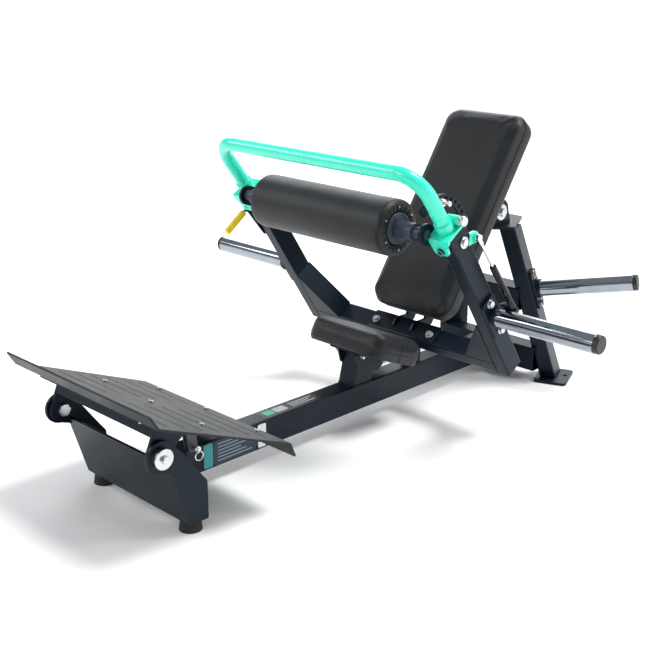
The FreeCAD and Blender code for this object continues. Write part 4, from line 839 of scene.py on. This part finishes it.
def make_lever_welds():
    """Along the corner boxes and across the feet of the arms, on both sides."""
    depth = LEVER_BACK * 0.030
    for side, tag in ((-1, "right"), (1, "left")):
        low = LEVER_ORIGIN + X_AXIS * (side * 0.245) + LEVER_UP * 0.040
        arm = LEVER_ORIGIN + X_AXIS * (side * 0.340)
        high = arm + LEVER_UP * 0.190
        foot = arm + LEVER_UP * 0.003
        bead([low - depth, high - depth], 0.0022, "lever", "weld_corner_front_" + tag)
        bead([low + depth, high + depth], 0.0022, "lever", "weld_corner_rear_" + tag)
        bead([foot - depth, foot + depth], 0.0024, "lever", "weld_arm_foot_" + tag)


# ---- labels -----------------------------------------------------------------------------------
PANEL = 0.0003                       # thickness of a panel on the beam
PRINT = 0.0002                       # and of the patches on it
LABEL_GAP = 0.0001                   # air between the beam and a panel
ON_TOP = (Y_AXIS, -X_AXIS)           # a panel's two directions on the beam's top
ON_SIDE = (Y_AXIS, Z_AXIS)           # and on its left side


def flat_panel(name, corner, plane, size, colour, rise):
    """Thin printed panel with rounded corners on a flat face of the base."""
    tree, shader = new_material(name + "_print")
    shade = tuple(c * 0.82 for c in colour)
    cloudy_colour(tree, shader, 120.0, 4.0, shade, colour)
    uneven_gloss(tree, shader, noise(tree, 45.0, 3.0), (0.32, 0.48))
    across, along = plane
    normal = across.cross(along).normalized()
    loop = rounded_loop(size[0] / 2, 0.0, size[1], min(size) * 0.12, min(size) * 0.2)
    base = [corner + across * (p.x + size[0] / 2) + along * p.y for p in loop]
    top = [point + normal * rise for point in base]
    faces = [tuple(range(len(base), 2 * len(base)))] + skin(2, len(base))
    add_mesh(name, base + top, faces, name + "_print", "base", smooth=False)


def make_top_label():
    """Dark panel on the beam's top, with a mint patch, a pale one and three bars."""
    corner = Vector((0.026, -0.265 - MIDDLE, BEAM_TOP + LABEL_GAP))
    flat_panel("beam_label", corner, ON_TOP, (0.205, 0.052), (0.010, 0.011, 0.013), PANEL)
    flat_panel("beam_label_mint", corner + Vector((-0.012, 0.014, PANEL)), ON_TOP, (0.030, 0.028),
               (0.04, 0.46, 0.33), PRINT)
    flat_panel("beam_label_pale", corner + Vector((-0.012, 0.048, PANEL)), ON_TOP, (0.042, 0.028),
               (0.52, 0.54, 0.55), PRINT)
    for row in range(3):
        place = corner + Vector((-0.013 - 0.010 * row, 0.106, PANEL))
        flat_panel("beam_label_line_%d" % row, place, ON_TOP, (0.084 - 0.016 * (row % 2), 0.0045),
                   (0.42, 0.44, 0.45), PRINT)


def make_side_label():
    """Navy panel with six bars on the beam's left side; in front of it a teal strip of painted reflection,
    behind it a plain pale strip.
    """
    corner = Vector((BEAM_HALF + LABEL_GAP, -0.449 - MIDDLE, 0.047))
    # The teal strip is painted reflection: a glint of light on the beam's front end, drawn as a thin panel.
    flat_panel("painted_reflection_strip", corner - Y_AXIS * 0.031, ON_SIDE, (0.029, 0.064), (0.03, 0.36, 0.40), PANEL)
    flat_panel("side_label", corner, ON_SIDE, (0.143, 0.064), (0.008, 0.024, 0.045), PANEL)
    for row in range(6):
        place = corner + Vector((PANEL, 0.014, 0.008 + 0.009 * row))
        flat_panel("side_label_line_%d" % row, place, ON_SIDE, (0.112 - 0.018 * (row % 3), 0.003),
                   (0.20, 0.26, 0.32), PRINT)
    flat_panel("side_label_pale", corner + Y_AXIS * 0.148, ON_SIDE, (0.028, 0.064), (0.78, 0.80, 0.80),
               PANEL)


# ---- assembly ------------------------------------------------------------------------------------
make_materials()
make_camera()
make_studio()
dress_cad_nodes()
make_pads()
make_roller()
make_bumper_head()
make_base_welds()
make_lever_welds()
make_top_label()
make_side_label()
